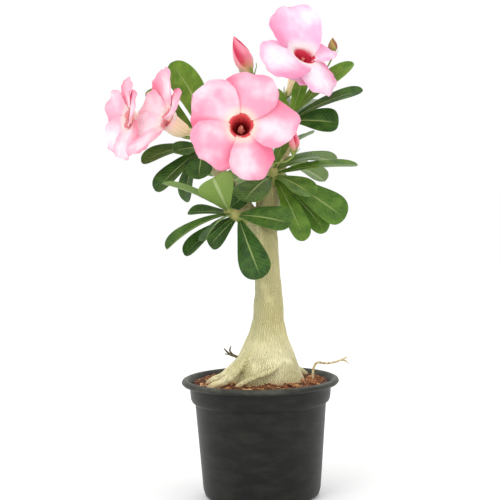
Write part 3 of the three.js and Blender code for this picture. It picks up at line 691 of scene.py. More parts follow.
bark = Paint("bark", {"Roughness": 0.62})
x_way, y_way, height = bark.split(bark.place())
turn = y_way.maths("ARCTAN2", y_way, x_way - 6 * MM)
zigzag = bark.noise(480, 2, stretch=(0.4, 0.4, 1))
worn = bark.noise(90, 2, stretch=(1, 1, 0.7)).ramp(0.25, 0.5)
winding = STRIAE / math.tau * turn
wide = (winding + 2.4 * zigzag).lines(0.38) * height.ramp(115 * MM, 140 * MM)
close = (2 * winding + 2.8 * zigzag).lines(0.42) * height.ramp(140 * MM, 115 * MM)
wavy = (wide + close) * worn
patches = bark.noise(45, 4, 0.6, stretch=(1, 1, 0.6))
specks = bark.noise(260, 2, 0.4, stretch=(1, 1, 2.2))
rings = bark.noise(420, 3, 0.6, stretch=(0.25, 0.25, 1))
pale = mix(patches.ramp(0.35, 0.65), srgb(214, 206, 152), srgb(242, 234, 188))
olive = mix(0.75 * height.ramp(118 * MM, 150 * MM), pale, srgb(196, 186, 128))
# Painted shade: the left side of the upper column is greyer green.
shaded_left = x_way.ramp(9 * MM, -6 * MM) * height.ramp(110 * MM, 170 * MM)
shaded = mix(0.7 * shaded_left, olive, srgb(172, 176, 134))
rusty = mix(0.5 * height.ramp(212 * MM, 240 * MM) * patches.ramp(0.4, 0.6), shaded, srgb(142, 104, 66))
creases = mix(0.5 * wavy, rusty, srgb(164, 152, 102))
scars = mix(0.8 * specks.ramp(0.72, 0.78), creases, srgb(118, 104, 66))
earth = mix(0.7 * height.ramp(104 * MM, 97 * MM) * patches.ramp(0.3, 0.6), scars, srgb(170, 116, 74))
bark.colour(earth)
bark.relief(rings * 0.5 - wavy - 0.8 * specks.ramp(0.7, 0.78), 0.5)
print("bark:", len(bark.tree.nodes), "nodes")

# %% [markdown]
# ## One skin
# The Remesh modifier melts the limbs into a single skin of small squares, so the seams go. A few rounds
# of `smooth_vert` round off the creases, and noise raises the wrinkles. A subdivided cage could give the
# same flow, but every fork of it would have to be stitched by hand.

# %% Trunk skin
BARK_VOXEL = 1.0
SMOOTH_ROUNDS = 2

trunk = finished(limbs, "trunk_skin", "trunk", [bark])
melt = trunk.modifiers.new("melt", "REMESH")
melt.mode = "VOXEL"
melt.voxel_size = BARK_VOXEL * MM
applied(trunk)

bm = bmesh.new()
bm.from_mesh(trunk.data)
for _ in range(SMOOTH_ROUNDS):
    bmesh.ops.smooth_vert(bm, verts=bm.verts, factor=0.5, use_axis_x=True, use_axis_y=True, use_axis_z=True)
bm.normal_update()
for vert in bm.verts:
    at = vert.co / MM
    wrinkle = noise.noise(Vector((at.x * 0.55, at.y * 0.55, at.z * 0.16)))
    ring = noise.noise(Vector((at.x * 0.12, at.y * 0.12, at.z * 0.75)))
    ring *= min(max((125 - at.z) / 30, 0.25), 1)
    knot = noise.noise(at * 0.11)
    vert.co += vert.normal * MM * (0.2 + 0.22 * wrinkle + 0.16 * ring + 0.45 * knot)
bm.to_mesh(trunk.data)
bm.free()
trunk.data.materials.clear()
trunk.data.materials.append(bark.material)
trunk.data.shade_smooth()
print("trunk:", len(trunk.data.polygons), "faces")

# %% [markdown]
# ## Dead wood
# A dead rootlet curls out of the mix and over the lip, and a forked snag is left of a twig that died on
# the caudex. Both are bent tubes, and noise makes them knobbly all the way along. Melting the snag into
# the bark would lose its thin tips, so it is a piece of its own.

# %% Dead wood
DRY_ROOT = [(45, -4, 88, 1.3), (44, -2, 98, 1.2), (45, 0, 107, 1.1), (48, 2, 111.5, 1), (56, 4, 110.5, 0.9),
            (66, 6, 112, 0.9), (74, 8, 115, 0.6)]
DRY_ROOT_TWIG = [(68, 6.5, 112.5, 0.7), (72, 7, 112, 0.7), (75, 7, 109.5, 0.4)]
SNAG = [[(-14, -6, 116, 1.6), (-20, -6, 119, 1.3), (-25, -6, 121, 1), (-30, -6, 126, 0.6)],
        [(-21, -6, 119.4, 0.9), (-25, -7, 124, 0.8), (-24, -8, 128, 0.5)],
        [(-25, -6, 121, 0.7), (-29, -7, 121.5, 0.5)]]

dry = Paint("dry_root", {"Roughness": 0.85})
rings = dry.noise(600, 4, 0.65)
dry.colour(mix(rings.ramp(0.3, 0.6), srgb(142, 112, 74), srgb(222, 204, 160)))
dry.relief(rings, 0.4)
bm = new_bmesh()
add_tube(bm, DRY_ROOT, sides=14, spacing=0.8, bumps=0.28)
add_tube(bm, DRY_ROOT_TWIG, sides=12, spacing=0.8, bumps=0.2)
finished(bm, "dry_rootlet", "dry_root", [dry])

dead = Paint("dead_wood", {"Roughness": 0.9})
flakes = dead.noise(700, 4, 0.65)
dead.colour(mix(flakes.ramp(0.35, 0.7), srgb(74, 66, 50), srgb(134, 122, 92)))
dead.relief(flakes, 0.4)
bm = new_bmesh()
for stops in SNAG:
    add_tube(bm, stops, sides=12, spacing=0.7, bumps=0.3)
finished(bm, "trunk_snag", "trunk", [dead])
print("dead wood:", 2 + len(SNAG), "tubes")

# %% [markdown]
# ## Leafy shoots
# The leaves stand in a rosette at the end of every shoot, each at its own angle. Placing them by a
# spiral is quick, but real shoots are crowded by their neighbours, so each leaf has a row of its own:
# where its tip is, its width, how far up the stem it grows, the way it faces (None: the way the stem
# heads), its arch, the fold along its midrib in degrees, how pointed it is, how young, and its sweep. A
# row may end early, and the leaf is then an ordinary one in the rest.

# %% Shoots
SHOOTS = {  # the stem, as x, y, z, radius, then the leaves
    "low": ([(-19, -29, 239, 4.4), (-26, -34, 243, 3)], [
    (2, -46, 188, 27, 0.1, (-0.3, -1, 0.1), 0.06, 8),
    (-74, -48, 213, 18, 0.6, (-0.2, -0.4, 0.9), 0.18, 30, 0.25, 0.2),
    (-60, -36, 207, 16, 0.3, (-0.2, -0.6, 0.8), 0.12, 24),
    (-40, -16, 213, 18, 0.1, (-0.3, -0.9, 0.3), 0.08, 12),
    (-57, -20, 241, 18, 0.5, (0, -0.5, 1), 0.08),
    (-35, -66, 270, 30, 0.9, (-0.35, 0.5, 0.8), -0.06, 14, 0, 0.85),
    (-76, -46, 266, 15, 0.7, (-0.2, 0.3, 1), 0.1, 24, 0.7, 0.45),
    (27, -52, 232, 27, 0.3, (0, -0.75, 0.65), 0.1, 14, 0.25, 0.12),
    (-24, -14, 268, 12, 0.8, (0, -1, 0.3), 0.04, 16, 0.6),
    (-42, -72, 222, 20, 0.5, None, 0.14),
    ]),
    "middle": ([(13, -2, 268, 4.8), (14, -4, 276, 3.2)], [
    (85, 12, 277, 16, 0.5, (0, -0.5, 0.9), 0.1, 14, 0.9, 0.5),
    (52, 14, 284, 18, 0.7, (-0.2, -0.5, 0.85), 0.18, 14, 0.7, 0.25),
    (45, -30, 253, 24, 0.4, (0.1, -0.6, 0.8), 0.14, 14, 0.25, 0.35),
    (72, -12, 233, 29, 0.45, (0.3, -0.85, 0.45), 0.14, 8, 0, 0.4),
    (57, -4, 222, 22, 0.45, (0.4, -0.8, 0.4), 0.08, 10, 0.6, 0.5),
    (-11, -38, 250, 31, 0.4, (-0.1, -0.6, 0.8), 0.12, 8, 0, 0.15),
    (42, 12, 226, 20, 0.6, (0.4, -0.8, 0.4), 0.12, 12),
    (38, -22, 216, 20, 0.5, (0.2, -0.9, 0.4), 0.14, 14, 0.5, 0.5),
    (-24, 0, 242, 16, 0.5, (-0.2, -0.9, 0.4), 0.06),
    (25, -2, 306, 13, 0.9, (0.1, -1, 0.1), 0.02, 16, 0.25, 0.4),
    ]),
    "top": ([(29, 11, 317, 4), (30, 11, 322, 3)], [
    (89, -2, 339, 17, 0.1, (-0.3, -0.5, 0.8), 0.1, 14, 0.9),
    (69, 5, 312, 25, 0.05, (0.1, -0.8, 0.5), 0.12, 14, 0),
    (83, 27, 363, 17, 0.6, (-0.2, -0.7, 0.7), 0.1, 14, 0.8, 0.75),
    (40, -16, 351, 12, 0.2, (0.1, -1, 0.2), -0.04, 14, 0.9, 0.7),
    (16, 2, 341, 10, 0.3, (0, -1, 0.2), 0.04, 14, 0.9, 0.7),
    (58, 52, 332, 20, 0.3, None, 0.14),
    (16, 58, 338, 20, 0.4, None, 0.14),
    ]),
    "left": ([(-43.5, 15.2, 293, 4), (-43, 15, 298, 3.4)], [
    (-71, 24, 365, 27, 0.7, (0.2, -1, 0.1), -0.06, 14, 0.7, 0.8, 0.2),
    (-92, 48, 343, 19, 0.4, (0, -0.7, 0.7), 0.1, 16, 0.5, 0.8),
    (-96, 4, 282, 19, 0.4, (-0.1, -0.6, 0.8), 0.2, 20, 0.5, 0.15),
    (-68, -12, 291, 16, 0.5, (0, -0.8, 0.5), 0.08),
    (-48, -16, 268, 22, 0.45, (-0.2, -0.9, 0.4), 0.14, 10, 0),
    (-85, 6, 258, 21, 0.5, (-0.3, -0.7, 0.6), 0.1, 16, 0.4),
    (-61, 24, 248, 19, 0.7, (-0.6, -0.7, 0.4), 0.2, 14),
    (-68, 62, 288, 22, 0.4, None, 0.14),
    (-20, 58, 292, 20, 0.15, None, 0.12, 18),
    (-38, 62, 268, 22, 0.45, None, 0.16, 14),
    ]),
    "crest": ([(0, 9, 320, 3.8), (-1, 8, 325, 3)], [
    (-34, 30, 336, 18, 0.5, None, 0.12, 18, 0.25, 0.3),
    (-12, 46, 342, 18, 0.4, None, 0.1, 20),
    ]),
    "back": ([(19, 46.5, 280, 4.4), (20, 49, 287, 3)], [
    (60, 66, 262, 24, 0.2, None, 0.16, 14),
    (70, 48, 280, 21, 0.4, None),
    (38, 94, 274, 24, 0.3, None, 0.16, 14),
    (-4, 94, 264, 24, 0.15, None, 0.16, 12),
    (-32, 66, 256, 22, 0.1, None, 0.16, 14),
    (24, 78, 230, 26, 0.1, None, 0.14, 12),
    (-8, 86, 300, 20, 0.6, None, 0.12, 18, 0.25, 0.2),
    (28, 80, 318, 19, 0.9, None, 0.06, 22, 0.25, 0.6),
    (50, 74, 304, 19, 0.8, None, 0.1, 20),
    ]),
}
print("leaves:", sum(len(leaves) for _, leaves in SHOOTS.values()))

# %% [markdown]
# ## Leaf finishes
# A leaf is dark and glossy above, paler and duller below, with a light midrib and faint side veins. The
# veins are lines across the leaf's own map, slanted towards the tip. A picture of a leaf would show
# finer ones, but it would be the same on every leaf.

# %% Leaf finishes
leaf_top = Paint("leaf_top", {"Specular IOR Level": 0.25, "Subsurface Weight": 0.05,
                              "Subsurface Radius": (0.001, 0.002, 0.0004)})
along, across = leaf_top.along_across()
side = abs(across * 2 - 1)
young = leaf_top.attribute("tint")
mottle = leaf_top.noise(120, 4, 0.55)
dark = mix(mottle.ramp(0.3, 0.7), srgb(24, 60, 14), srgb(54, 92, 28))
bright = mix(mottle.ramp(0.3, 0.7), srgb(88, 130, 26), srgb(122, 158, 50))
green = mix(young, dark, bright)
veins = (along * 13 - side * 3).lines(0.16) * side.ramp(1.0, 0.5)
rib = (side * (0.35 + along)).ramp(0.07, 0.02)
veined = mix(0.24 * veins, green, srgb(128, 158, 82))
edged = mix(0.3 * side.ramp(0.95, 1.0), veined, srgb(146, 164, 84))
leaf_top.colour(mix(0.7 * rib * along.ramp(1.0, 0.4), edged, srgb(172, 190, 118)))
leaf_top.feed("Roughness", 0.32 + 0.16 * mottle)
leaf_top.relief(0.8 * rib - 0.5 * veins + 0.25 * leaf_top.noise(500, 2), 0.5)

leaf_under = Paint("leaf_underside", {"Specular IOR Level": 0.35})
along, across = leaf_under.along_across()
side = abs(across * 2 - 1)
veins = (along * 13 - side * 3).lines(0.14)
rib = side.ramp(0.14, 0.04)
mottle = leaf_under.noise(160, 3)
pale = mix(mottle, srgb(104, 134, 78), srgb(128, 154, 96))
young_pale = mix(leaf_under.attribute("tint"), pale, srgb(126, 154, 68))
leaf_under.colour(mix(0.6 * rib + 0.25 * veins, young_pale, srgb(190, 204, 146)))
leaf_under.feed("Roughness", 0.5 + 0.1 * mottle)
leaf_under.relief(rib + 0.4 * veins, 0.6)

stem_paint = Paint("green_stem", {"Specular IOR Level": 0.4})
woody = stem_paint.noise(240, 4, stretch=(1, 1, 0.4))
stem_paint.colour(mix(woody.ramp(0.35, 0.7), srgb(122, 140, 62), srgb(168, 160, 96)))
stem_paint.feed("Roughness", 0.45 + 0.15 * woody)
stem_paint.relief(woody, 0.6)
print("leaf finishes:", len(leaf_top.tree.nodes), "and", len(leaf_under.tree.nodes), "nodes")

# %% [markdown]
# ## A leaf
# A leaf is a thin sheet whose spine is a curve from its root on the stem to its tip. The sheet is widest
# near the tip, its halves rise from the midrib, and its edge waves a little. Bending a grid is the
# simplest way to such a sheet, because the grid brings the map that the veins are painted on.


# %% A leaf
LEAF_ROWS = 24
LEAF_COLUMNS = 14


def obovate(u, point, taper=0.95):
    """The share of its greatest width that a leaf or petal has at u: a wedge that ends round or pointed."""
    roundness = 7 - 4.4 * point
    widest = 2 * taper / (2 * taper + roundness)
    peak = widest ** (taper / roundness) * math.sqrt(1 - widest)
    return u ** taper * math.sqrt(max(0, 1 - u ** roundness)) / peak


def add_leaf(bm, root, tip, width, face, arch=0.12, fold=16, point=0.25, young=0.0, sweep=0.0):
    chord = tip - root
    along = chord.normalized()
    up = (face - along * face.dot(along)).normalized()
    side_way = along.cross(up)
    bow = root + 0.45 * chord + (arch * up + sweep * side_way) * chord.length
    rise = math.sin(math.radians(fold))
    phase = dice.uniform(0, 6)
    twist = dice.uniform(-0.1, 0.1)

    def place(share, v):
        u = 1 - (1 - share) ** 1.5
        centre = (1 - u) ** 2 * root + 2 * u * (1 - u) * bow + u * u * tip
        tangent = ((1 - u) * (bow - root) + u * (tip - bow)).normalized()
        across = up.cross(tangent).normalized()
        normal = tangent.cross(across)
        half = max(1.3 * (1 - u), width / 2 * obovate(u, point))
        uneven = 1 + 0.03 * math.sin(9 * u + phase + v)
        reach = v * half * uneven
        valley = (math.hypot(reach, 1.5) - 1.5) * rise
        wave = 0.07 * half * v * v * math.sin(6.5 * u + phase + 1.4 * v)
        groove = 0.45 * (1 - 0.6 * u) * math.exp(-((reach / 0.8) ** 2))
        quilt = 0.12 * math.sin(math.tau * (13 * share - 3 * abs(v))) * abs(v) * (1 - abs(v)) * 4
        return centre + across * reach + normal * (valley + wave - groove + quilt + twist * reach * u)

    add_sheet(bm, LEAF_ROWS, LEAF_COLUMNS, place, min(1, young + dice.uniform(0, 0.09)))


print("a leaf is", LEAF_ROWS * LEAF_COLUMNS, "faces")

# %% [markdown]
# ## Leafy shoots
# Each shoot carries the branch on in green, and its leaves grow along it. All the leaves of a shoot are
# one piece. Solidify gives them their thickness and puts the paler finish on the underside, where a
# second sheet for each leaf would have to be kept in step with the first.

# %% Leafy shoots
LEAF_THICKNESS = 0.7
STEM_START = ((-1.5, 0.1), (0.3, 0.25), (2.4, 0.4))  # how far past the branch's end, and how much slimmer
LOWEST_LEAF, HIGHEST_LEAF = 0.25, 0.92

for name, (stem_stops, rows) in SHOOTS.items():
    before, end = [Vector(stop[:3]) for stop in BRANCHES[name][-2:]]
    out = (end - before).normalized()
    radius = BRANCHES[name][-1][3]
    start = [(*(end + out * reach), radius - slimmer) for reach, slimmer in STEM_START]
    stops = [*start, *stem_stops]
    stem = Path([stop[:3] for stop in stops[1:]])
    bm = new_bmesh()
    for x, y, z, width, share, face, *shape in rows:
        face = Vector(face) if face else stem.heading(share)
        root = stem.at(LOWEST_LEAF + (HIGHEST_LEAF - LOWEST_LEAF) * share)
        add_leaf(bm, root, Vector((x, y, z)), width, face, *shape)
    leaves = finished(bm, f"{name}_shoot_leaves", f"leaves_{name}", [leaf_top, leaf_under])
    thicken(leaves, LEAF_THICKNESS, smooth=1, inner_slot=1)
    bm = new_bmesh()
    add_tube(bm, stops, sides=LIMB_SIDES, spacing=1, bumps=0.25)
    finished(bm, f"{name}_shoot_stem", f"leaves_{name}", [stem_paint])
    print(name, "shoot:", len(leaves.data.polygons), "faces before thickening")

# %% [markdown]
# ## Blooms
# A desert rose is a trumpet: a tube that widens to the throat, and five petals that each lie over one
# neighbour and under the other. No two blooms open alike, so each petal has a row of its own: direction
# round the bloom, cup, length, half width, curl, blush, and point of the tip. Angles are in degrees.

# %% Blooms
BLOOMS = {  # throat, facing, length of the tube, colours, taper of the petals, petals, stalk
    "bloom_front": ((-12, -60, 311), (0.02, -1, 0.06), 36, "rose", 0.7, [
        (73, 6, 41, 25, 14, 1, 0), (146, 2, 41, 26, 10, 0.45, 0), (216, 4, 39, 24, 16, 0.65, 0),
        (287, 0, 41, 20, 18, 0.75, 0.02), (3, 6, 39, 22, 10, 0.5, 0.16),
    ], [(-1.5, 6.1, 325.4), (-2.2, 5, 327.8), (-7, -8, 322)]),
    "bloom_top": ((40.5, -6, 368), (0.33, -0.58, 0.74), 42, "mauve", 0.28, [
        (106, 38, 44, 30, 14, 0.55, 0), (202, 6, 48, 23, 12, 0.45, 0.08), (238, -10, 27, 13, 30, 0.7, 0),
        (289, -18, 36, 23, 16, 0.3, 0.04), (8, 20, 26, 14, 40, 0.9, 0.1),
    ], [(30.1, 9.4, 322.8), (30.4, 9.6, 325)]),
    "bloom_left_inner": ((-74, -2, 318), (-0.8, -0.44, 0.4), 30, "peach", 0.6, [
        (104, 26, 41, 21, 8, 0.3, 0.03), (164, 26, 34, 18, 14, 0, 0), (218, 28, 34, 18, 16, 0, 0),
        (272, 32, 43, 16, 12, 0.4, 0), (34, 46, 30, 17, 80, 1, 0),
    ], [(-43, 12.9, 298.7), (-42.6, 12.4, 301)]),
    "bloom_left_outer": ((-107.8, 28, 318.4), (-0.89, -0.43, 0.14), 34, "peach", 0.5, [
        (98, 12, 33, 23, 14, 0.8, 0), (160, 16, 33, 20, 8, 0.8, 0.12), (230, 14, 32, 22, 14, 0.5, 0),
        (300, 14, 34, 22, 14, 0.1, 0.08), (29, 38, 30, 18, 64, 0.9, 0),
    ], [(-41.8, 18.2, 298.7), (-41, 20.8, 300.8), (-62, 33.5, 303)]),
}
COLOURS = {  # palest, pink, deepest pink, halo, edge of the throat, depth of the throat
    "rose": ((253, 220, 230), (247, 160, 184), (236, 108, 144), (254, 230, 208), (220, 74, 80),
             (206, 66, 74)),
    "mauve": ((252, 234, 246), (246, 180, 210), (232, 126, 166), (254, 238, 232), (216, 50, 80),
              (170, 22, 46)),
    "peach": ((253, 228, 236), (248, 174, 194), (234, 122, 148), (253, 230, 220), (234, 144, 150),
              (190, 88, 98)),
}
print("blooms:", ", ".join(BLOOMS))

# %% [markdown]
# ## Petal finishes
# Petals are pale at the heart and flushed along the edge that lies under a neighbour: a deeper pink
# there, with the neighbour's shadow painted over it. They have fine rays and a cream ring before the
# red throat. They are thin enough for light to pass, which subsurface scattering gives, and the back
# has a painted glow where a real one would be lit through. Clouds of noise keep the five from matching.

# %% Petal finishes
TRANSLUCENT = {"Subsurface Weight": 0.45, "Subsurface Scale": 0.003, "Subsurface Radius": (1, 0.5, 0.5)}
# A painted glow for the petal backs and the tube, standing in for light shining through them.
PAINTED_GLOW = {"Emission Strength": 0.14}


def petal_finish(name, palest, pink, deepest, halo, throat_edge):
    paint = Paint(f"{name}_petal", {"Specular IOR Level": 0.25, **TRANSLUCENT})
    along, across = paint.along_across()
    side = abs(across * 2 - 1)
    blush = paint.attribute("tint")
    clouds = paint.noise(48, 2, 0.5)
    rays = paint.noise(1.5, 3, 0.6, where=paint.blade((3, 22, 1)))
    pale_heart = along.ramp(0.1, 0.3) * along.ramp(1.0, 0.5) * abs(across - 0.36).ramp(0.36, 0.05)
    rosy = 0.4 + 0.6 * blush + 2.6 * (clouds - 0.5) - 0.4 * pale_heart
    body = mix(rosy.ramp(-0.1, 0.95), palest, pink)
    # Painted shadow of the neighbour that lies over this edge, along with a deeper pink there.
    overlap_shade = across.ramp(0.54, 0.92) * along.ramp(0.1, 0.3) * along.ramp(1.15, 0.6)
    rim = (side.ramp(0.8, 1.15) + along.ramp(0.85, 1.1)) * 0.4
    flushed_and_shaded = mix(overlap_shade * (0.35 + 0.8 * clouds) + rim * (0.25 + 0.7 * blush), body, deepest)
    rayed = mix(0.22 * rays.ramp(0.5, 0.75) * along.ramp(0.15, 0.5), flushed_and_shaded, deepest)
    cream = mix(0.8 * along.ramp(0.26, 0.09), rayed, halo)
    ragged = along + 0.01 * rays
    paint.colour(mix(ragged.ramp(0.13, 0.04), cream, throat_edge))
    paint.feed("Roughness", 0.45 + 0.15 * clouds)
    paint.relief(rays + 0.4 * paint.noise(300, 2), 0.3)
    return paint


def petal_back_finish(name, palest, pink, halo):
    """The outside of the petals, paler than their faces, with the tube's cream at the root."""
    fixed = {"Specular IOR Level": 0.25, "Roughness": 0.5}
    paint = Paint(f"{name}_petal_back", {**fixed, **TRANSLUCENT, **PAINTED_GLOW})
    along, across = paint.along_across()
    clouds = paint.noise(48, 2, 0.5)
    rays = paint.noise(1.5, 3, 0.6, where=paint.blade((3, 22, 1)))
    rosy = 0.3 + 0.4 * paint.attribute("tint") + 2 * (clouds - 0.5) + 0.3 * abs(across * 2 - 1)
    body = mix(rosy.ramp(0, 1), palest, pink)
    rayed = mix(0.3 * rays.ramp(0.5, 0.75) * along.ramp(0.1, 0.4), body, pink)
    colour = mix(along.ramp(0.35, 0.05), rayed, halo)
    # The back's colour is also a painted glow.
    paint.colour(colour, painted_glow=True)
    paint.relief(rays, 0.3)
    return paint


def throat_finish(name, throat_edge, throat_depth):
    """The tube's inside, darker red deeper in. Its top half, where across is about 0.75, is brighter:
    painted light.
    """
    paint = Paint(f"{name}_throat", {"Roughness": 0.45, "Specular IOR Level": 0.3})
    along, across = paint.along_across()
    guides = (across * 15).lines(0.22)
    # Painted light: the top half of the throat's wall is a brighter red.
    painted_light_top = abs(across - 0.75).ramp(0.3, 0.1)
    shallow_and_lit = (along + 0.25 * painted_light_top).ramp(0.5, 1.0)
    red = mix(shallow_and_lit, throat_depth, throat_edge)
    paint.colour(mix(0.35 * guides * along.ramp(0.5, 0.9), red, srgb(236, 104, 92)))
    paint.relief(guides, 0.4)
    return paint


finishes = {}
for name, colours in COLOURS.items():
    palest, pink, deepest, halo, edge, depth = [srgb(*colour) for colour in colours]
    face = petal_finish(name, palest, pink, deepest, halo, edge)
    finishes[name] = (face, petal_back_finish(name, palest, pink, halo), throat_finish(name, edge, depth))
print("petal finishes:", ", ".join(finishes))

# %% [markdown]
# ## Finishes of tube, anthers and calyx
# The tube is cream outside with faint stripes, the anthers are downy, and the calyx is felted green with
# a red flush. Every bloom has the same ones, so they are made once.

# %% Tube, anther and calyx finishes
# The tube's outside has a painted glow, standing in for light shining through its thin wall.
tube_paint = Paint("tube_outside", {"Roughness": 0.5, "Specular IOR Level": 0.3, **TRANSLUCENT, **PAINTED_GLOW})
along, across = tube_paint.along_across()
stripes = (across * 15).lines(0.3)
dapple = tube_paint.noise(150, 3)
cream_tube = mix(along.ramp(0.2, 0.7), srgb(244, 224, 170), srgb(255, 226, 194))
marks = 0.3 * stripes * along.ramp(1.0, 0.6) + 0.12 * dapple
striped = mix(marks, cream_tube, srgb(214, 158, 116))
tube_colour = mix(along.ramp(0.72, 0.95), striped, srgb(253, 206, 202))
tube_paint.colour(tube_colour, painted_glow=True)
tube_paint.relief(stripes, 0.15)

# The anthers have a painted glow, which lights them where they stand deep in the shaded throat.
anther_paint = Paint("anther", {"Roughness": 0.7, "Emission Strength": 0.1})
fluff = anther_paint.noise(900, 3)
anther_colour = mix(fluff.ramp(0.3, 0.7), srgb(208, 100, 92), srgb(252, 186, 160))
anther_paint.colour(anther_colour, painted_glow=True)
anther_paint.relief(fluff, 0.4)

calyx_paint = Paint("calyx", {"Roughness": 0.5})
felt = calyx_paint.noise(600, 3)
flush = calyx_paint.noise(90, 2)
mossy = mix(felt, srgb(112, 140, 58), srgb(152, 172, 84))
calyx_paint.colour(mix(0.35 * flush.ramp(0.5, 0.75), mossy, srgb(176, 96, 82)))
calyx_paint.relief(felt, 0.3)
print("calyx finish:", len(calyx_paint.tree.nodes), "nodes")

# %% [markdown]
# ## A petal
# A petal's spine climbs out of the throat and leans over. Its sheet is wrapped round the bloom's axis,
# tilted so that it lies over one neighbour, and frilled towards its edge. Cloth would drape into such
# frills by itself, but never twice in the same way. The bloom is modelled at the origin, throat up.


# %% A petal
PETAL_ROOT = (7.75, 5)
PETAL_STEPS = 28
PETAL_ROWS = 34
PETAL_COLUMNS = 32
PETAL_OVERLAP = 0.13
PETAL_POINT = 0.16
STEEP_START = 82


def turned_to(position, facing):
    """The matrix that takes a bloom modelled at the origin, facing +Z, to its place."""
    out = Vector(facing).normalized()
    up = (Vector((0, 0, 1)) - out * out.z).normalized()
    axes = Matrix((up.cross(out), up, out)).transposed().to_4x4()
    return Matrix.Translation(Vector(position)) @ axes


def add_petal(bm, taper, direction, cup, length, half_width, curl, blush, point):
    spine = [Vector((PETAL_ROOT[0], 0, -PETAL_ROOT[1]))]
    for i in range(PETAL_STEPS):
        u = (i + 0.5) / PETAL_STEPS
        lean = math.radians(cup + (STEEP_START - cup) * math.exp(-((u / 0.16) ** 2)) - curl * u ** 2)
        spine.append(spine[-1] + Vector((math.cos(lean), 0, math.sin(lean))) * length / PETAL_STEPS)
    phases = [dice.uniform(0, math.tau) for _ in range(6)]

    def place(share, v):
        u = 1 - (1 - share) ** 1.4
        outline = obovate(u, PETAL_POINT + 2.5 * point, taper)
        s = v * outline
        scallop = 0.035 * math.sin(3.2 * s + phases[0]) + 0.03 * math.sin(7.5 * s + phases[1])
        scallop += 0.012 * math.sin(19 * s + phases[2]) + point * math.exp(-(((s - 0.1) / 0.3) ** 2))
        far = u * (1 + u ** 4 * (scallop - 0.03))
        at = int(min(far * PETAL_STEPS, PETAL_STEPS - 1e-4))
        line = spine[at + 1] - spine[at]
        centre = spine[at] + line * (far * PETAL_STEPS - at)
        normal = Vector((-line.z, 0, line.x)).normalized()
        frill = 1 + 0.035 * u * math.sin(9 * u + phases[3]) + 0.015 * u * math.sin(29 * u + phases[4])
        wedge = 0.8 * centre.x * math.exp(-((u / 0.3) ** 4))
        reach = max(wedge, half_width * outline * frill)
        turn = min(v * reach / centre.x, 1.1)
        edge = max(abs(v) ** 4, u ** 7)
        broad = 1.5 * s * u * math.sin(6 * u + 2.4 * s + phases[5])
        crimp = edge * u * (1.2 * math.sin(12 * u + 5 * s + phases[3])
                            + 0.6 * math.sin(29 * u - 13 * s + phases[4]))
        lift = (broad + crimp) * min(1, 3 * u) - PETAL_OVERLAP * v * reach * min(1, 5 * u)
        lift -= 0.5 * u * math.exp(-((v / 0.1) ** 2)) * (1 - u)
        spin = Matrix.Rotation(turn + math.radians(direction), 3, "Z")
        return spin @ (centre + normal * lift)

    add_sheet(bm, PETAL_ROWS, PETAL_COLUMNS, place, blush)


print("a petal is", PETAL_ROWS * PETAL_COLUMNS, "faces")

# %% [markdown]
# ## Tube and anthers
# The tube is one sheet rolled round its axis, a little bowed and open at the throat. Its outline is a
# path, so it flares in one smooth line, which a stack of cones would not. Inside stands the cone of
# anthers, five that lean together and end in threads.


# %% Tube and anthers
TUBE_FOOT = 2.2
TUBE_BOW = 3.2
TUBE_HOLLOW = 24


def bowed(point, length):
    """Bends a point of a tube of that length, as the tube of a bloom sags between its ends."""
    return point - Vector((0, TUBE_BOW * math.sin(math.pi * min(max(-point.z / length, 0), 1)), 0))


def add_tube_wall(bm, length):
    """The trumpet's wall, from its closed foot to the flare under the petals."""
    stops = [(0.2, 0, -length), (TUBE_FOOT, 0, -length + 0.2), (2.6, 0, -length + 4), (3.2, 0, -length + 8),
             (5.5, 0, -length * 0.62), (7.5, 0, -length * 0.3), (7.8, 0, -5), (8.5, 0, -1.4), (10, 0, -0.1)]
    wall = Path(stops, 6)

    def place(u, v):
        ring = wall.at(u)
        ribs = 1 + 0.012 * math.cos(15 * v * math.pi)
        spin = Matrix.Rotation(v * math.pi, 3, "Z")
        return bowed(spin @ Vector((ring.x * ribs, 0, ring.z)), length)

    add_sheet(bm, 44, 60, place)


def add_anthers(bm, length):
    cone = Path([(0.1, 0, -TUBE_HOLLOW + 0.4), (1.5, 0, -23.4), (2.9, 0, -18), (3, 0, -12.5), (1.9, 0, -8),
                 (0.9, 0, -6), (0.1, 0, -5.2)], 6)

    def place(u, turn):
        ring = cone.at(u)
        return bowed(around(ring.x * (0.86 + 0.14 * math.cos(5 * turn + 2 * u)), turn, ring.z), length)

    add_rolled(bm, 28, 40, place)
    for i in range(5):
        turn = math.tau * i / 5
        thread = [bowed(around(0.9, turn + 0.7 * k, -9 + 2.2 * k), length) for k in range(4)]
        add_tube(bm, [(*stop, 0.28) for stop in thread], sides=6, steps=4)


print("the hollow of a tube is", TUBE_HOLLOW, "mm deep")

# %% [markdown]
# ## Calyx
# Under each bloom a green cup with five pointed sepals clasps the tube, and a stalk joins it to the
# shoot. The sepals are thin sheets, so they need Solidify and a piece of their own. Cup and stalk are
# solid, and the stalk runs on into the cup.


# %% Calyx
def add_sepals(bm, size, foot_radius, brim, height):
    """Five pointed sepals round a tube or bud whose foot is at height."""
    for i in range(5):
        spin = Matrix.Rotation(math.tau * i / 5, 3, "Z")

        def place(u, v):
            radius = foot_radius + 0.75 + (brim - foot_radius) * min(1, u * 1.5) + 0.8 * size * u ** 3
            half = 2.1 * size * (1 - u) ** 0.8 * (0.55 + 1.3 * u * (1 - u)) + 0.02
            return spin @ Vector((radius - 0.12 * (v * half) ** 2 / max(size, 0.1), v * half,
                                  height - 0.8 * size + 7.2 * size * u))

        add_sheet(bm, 12, 8, place)


def add_cup(bm, size, foot_radius, height):
    cup = Path([(0.1, 0, height - 3.2), (1.7 * size, 0, height - 2.8), (foot_radius + 0.8, 0, height - 0.9),
                (foot_radius + 0.7, 0, height + 0.3), (0.1, 0, height + 0.5)], 6)

    def place(u, turn):
        ring = cup.at(u)
        return around(ring.x, turn, ring.z)

    add_rolled(bm, 16, 24, place)


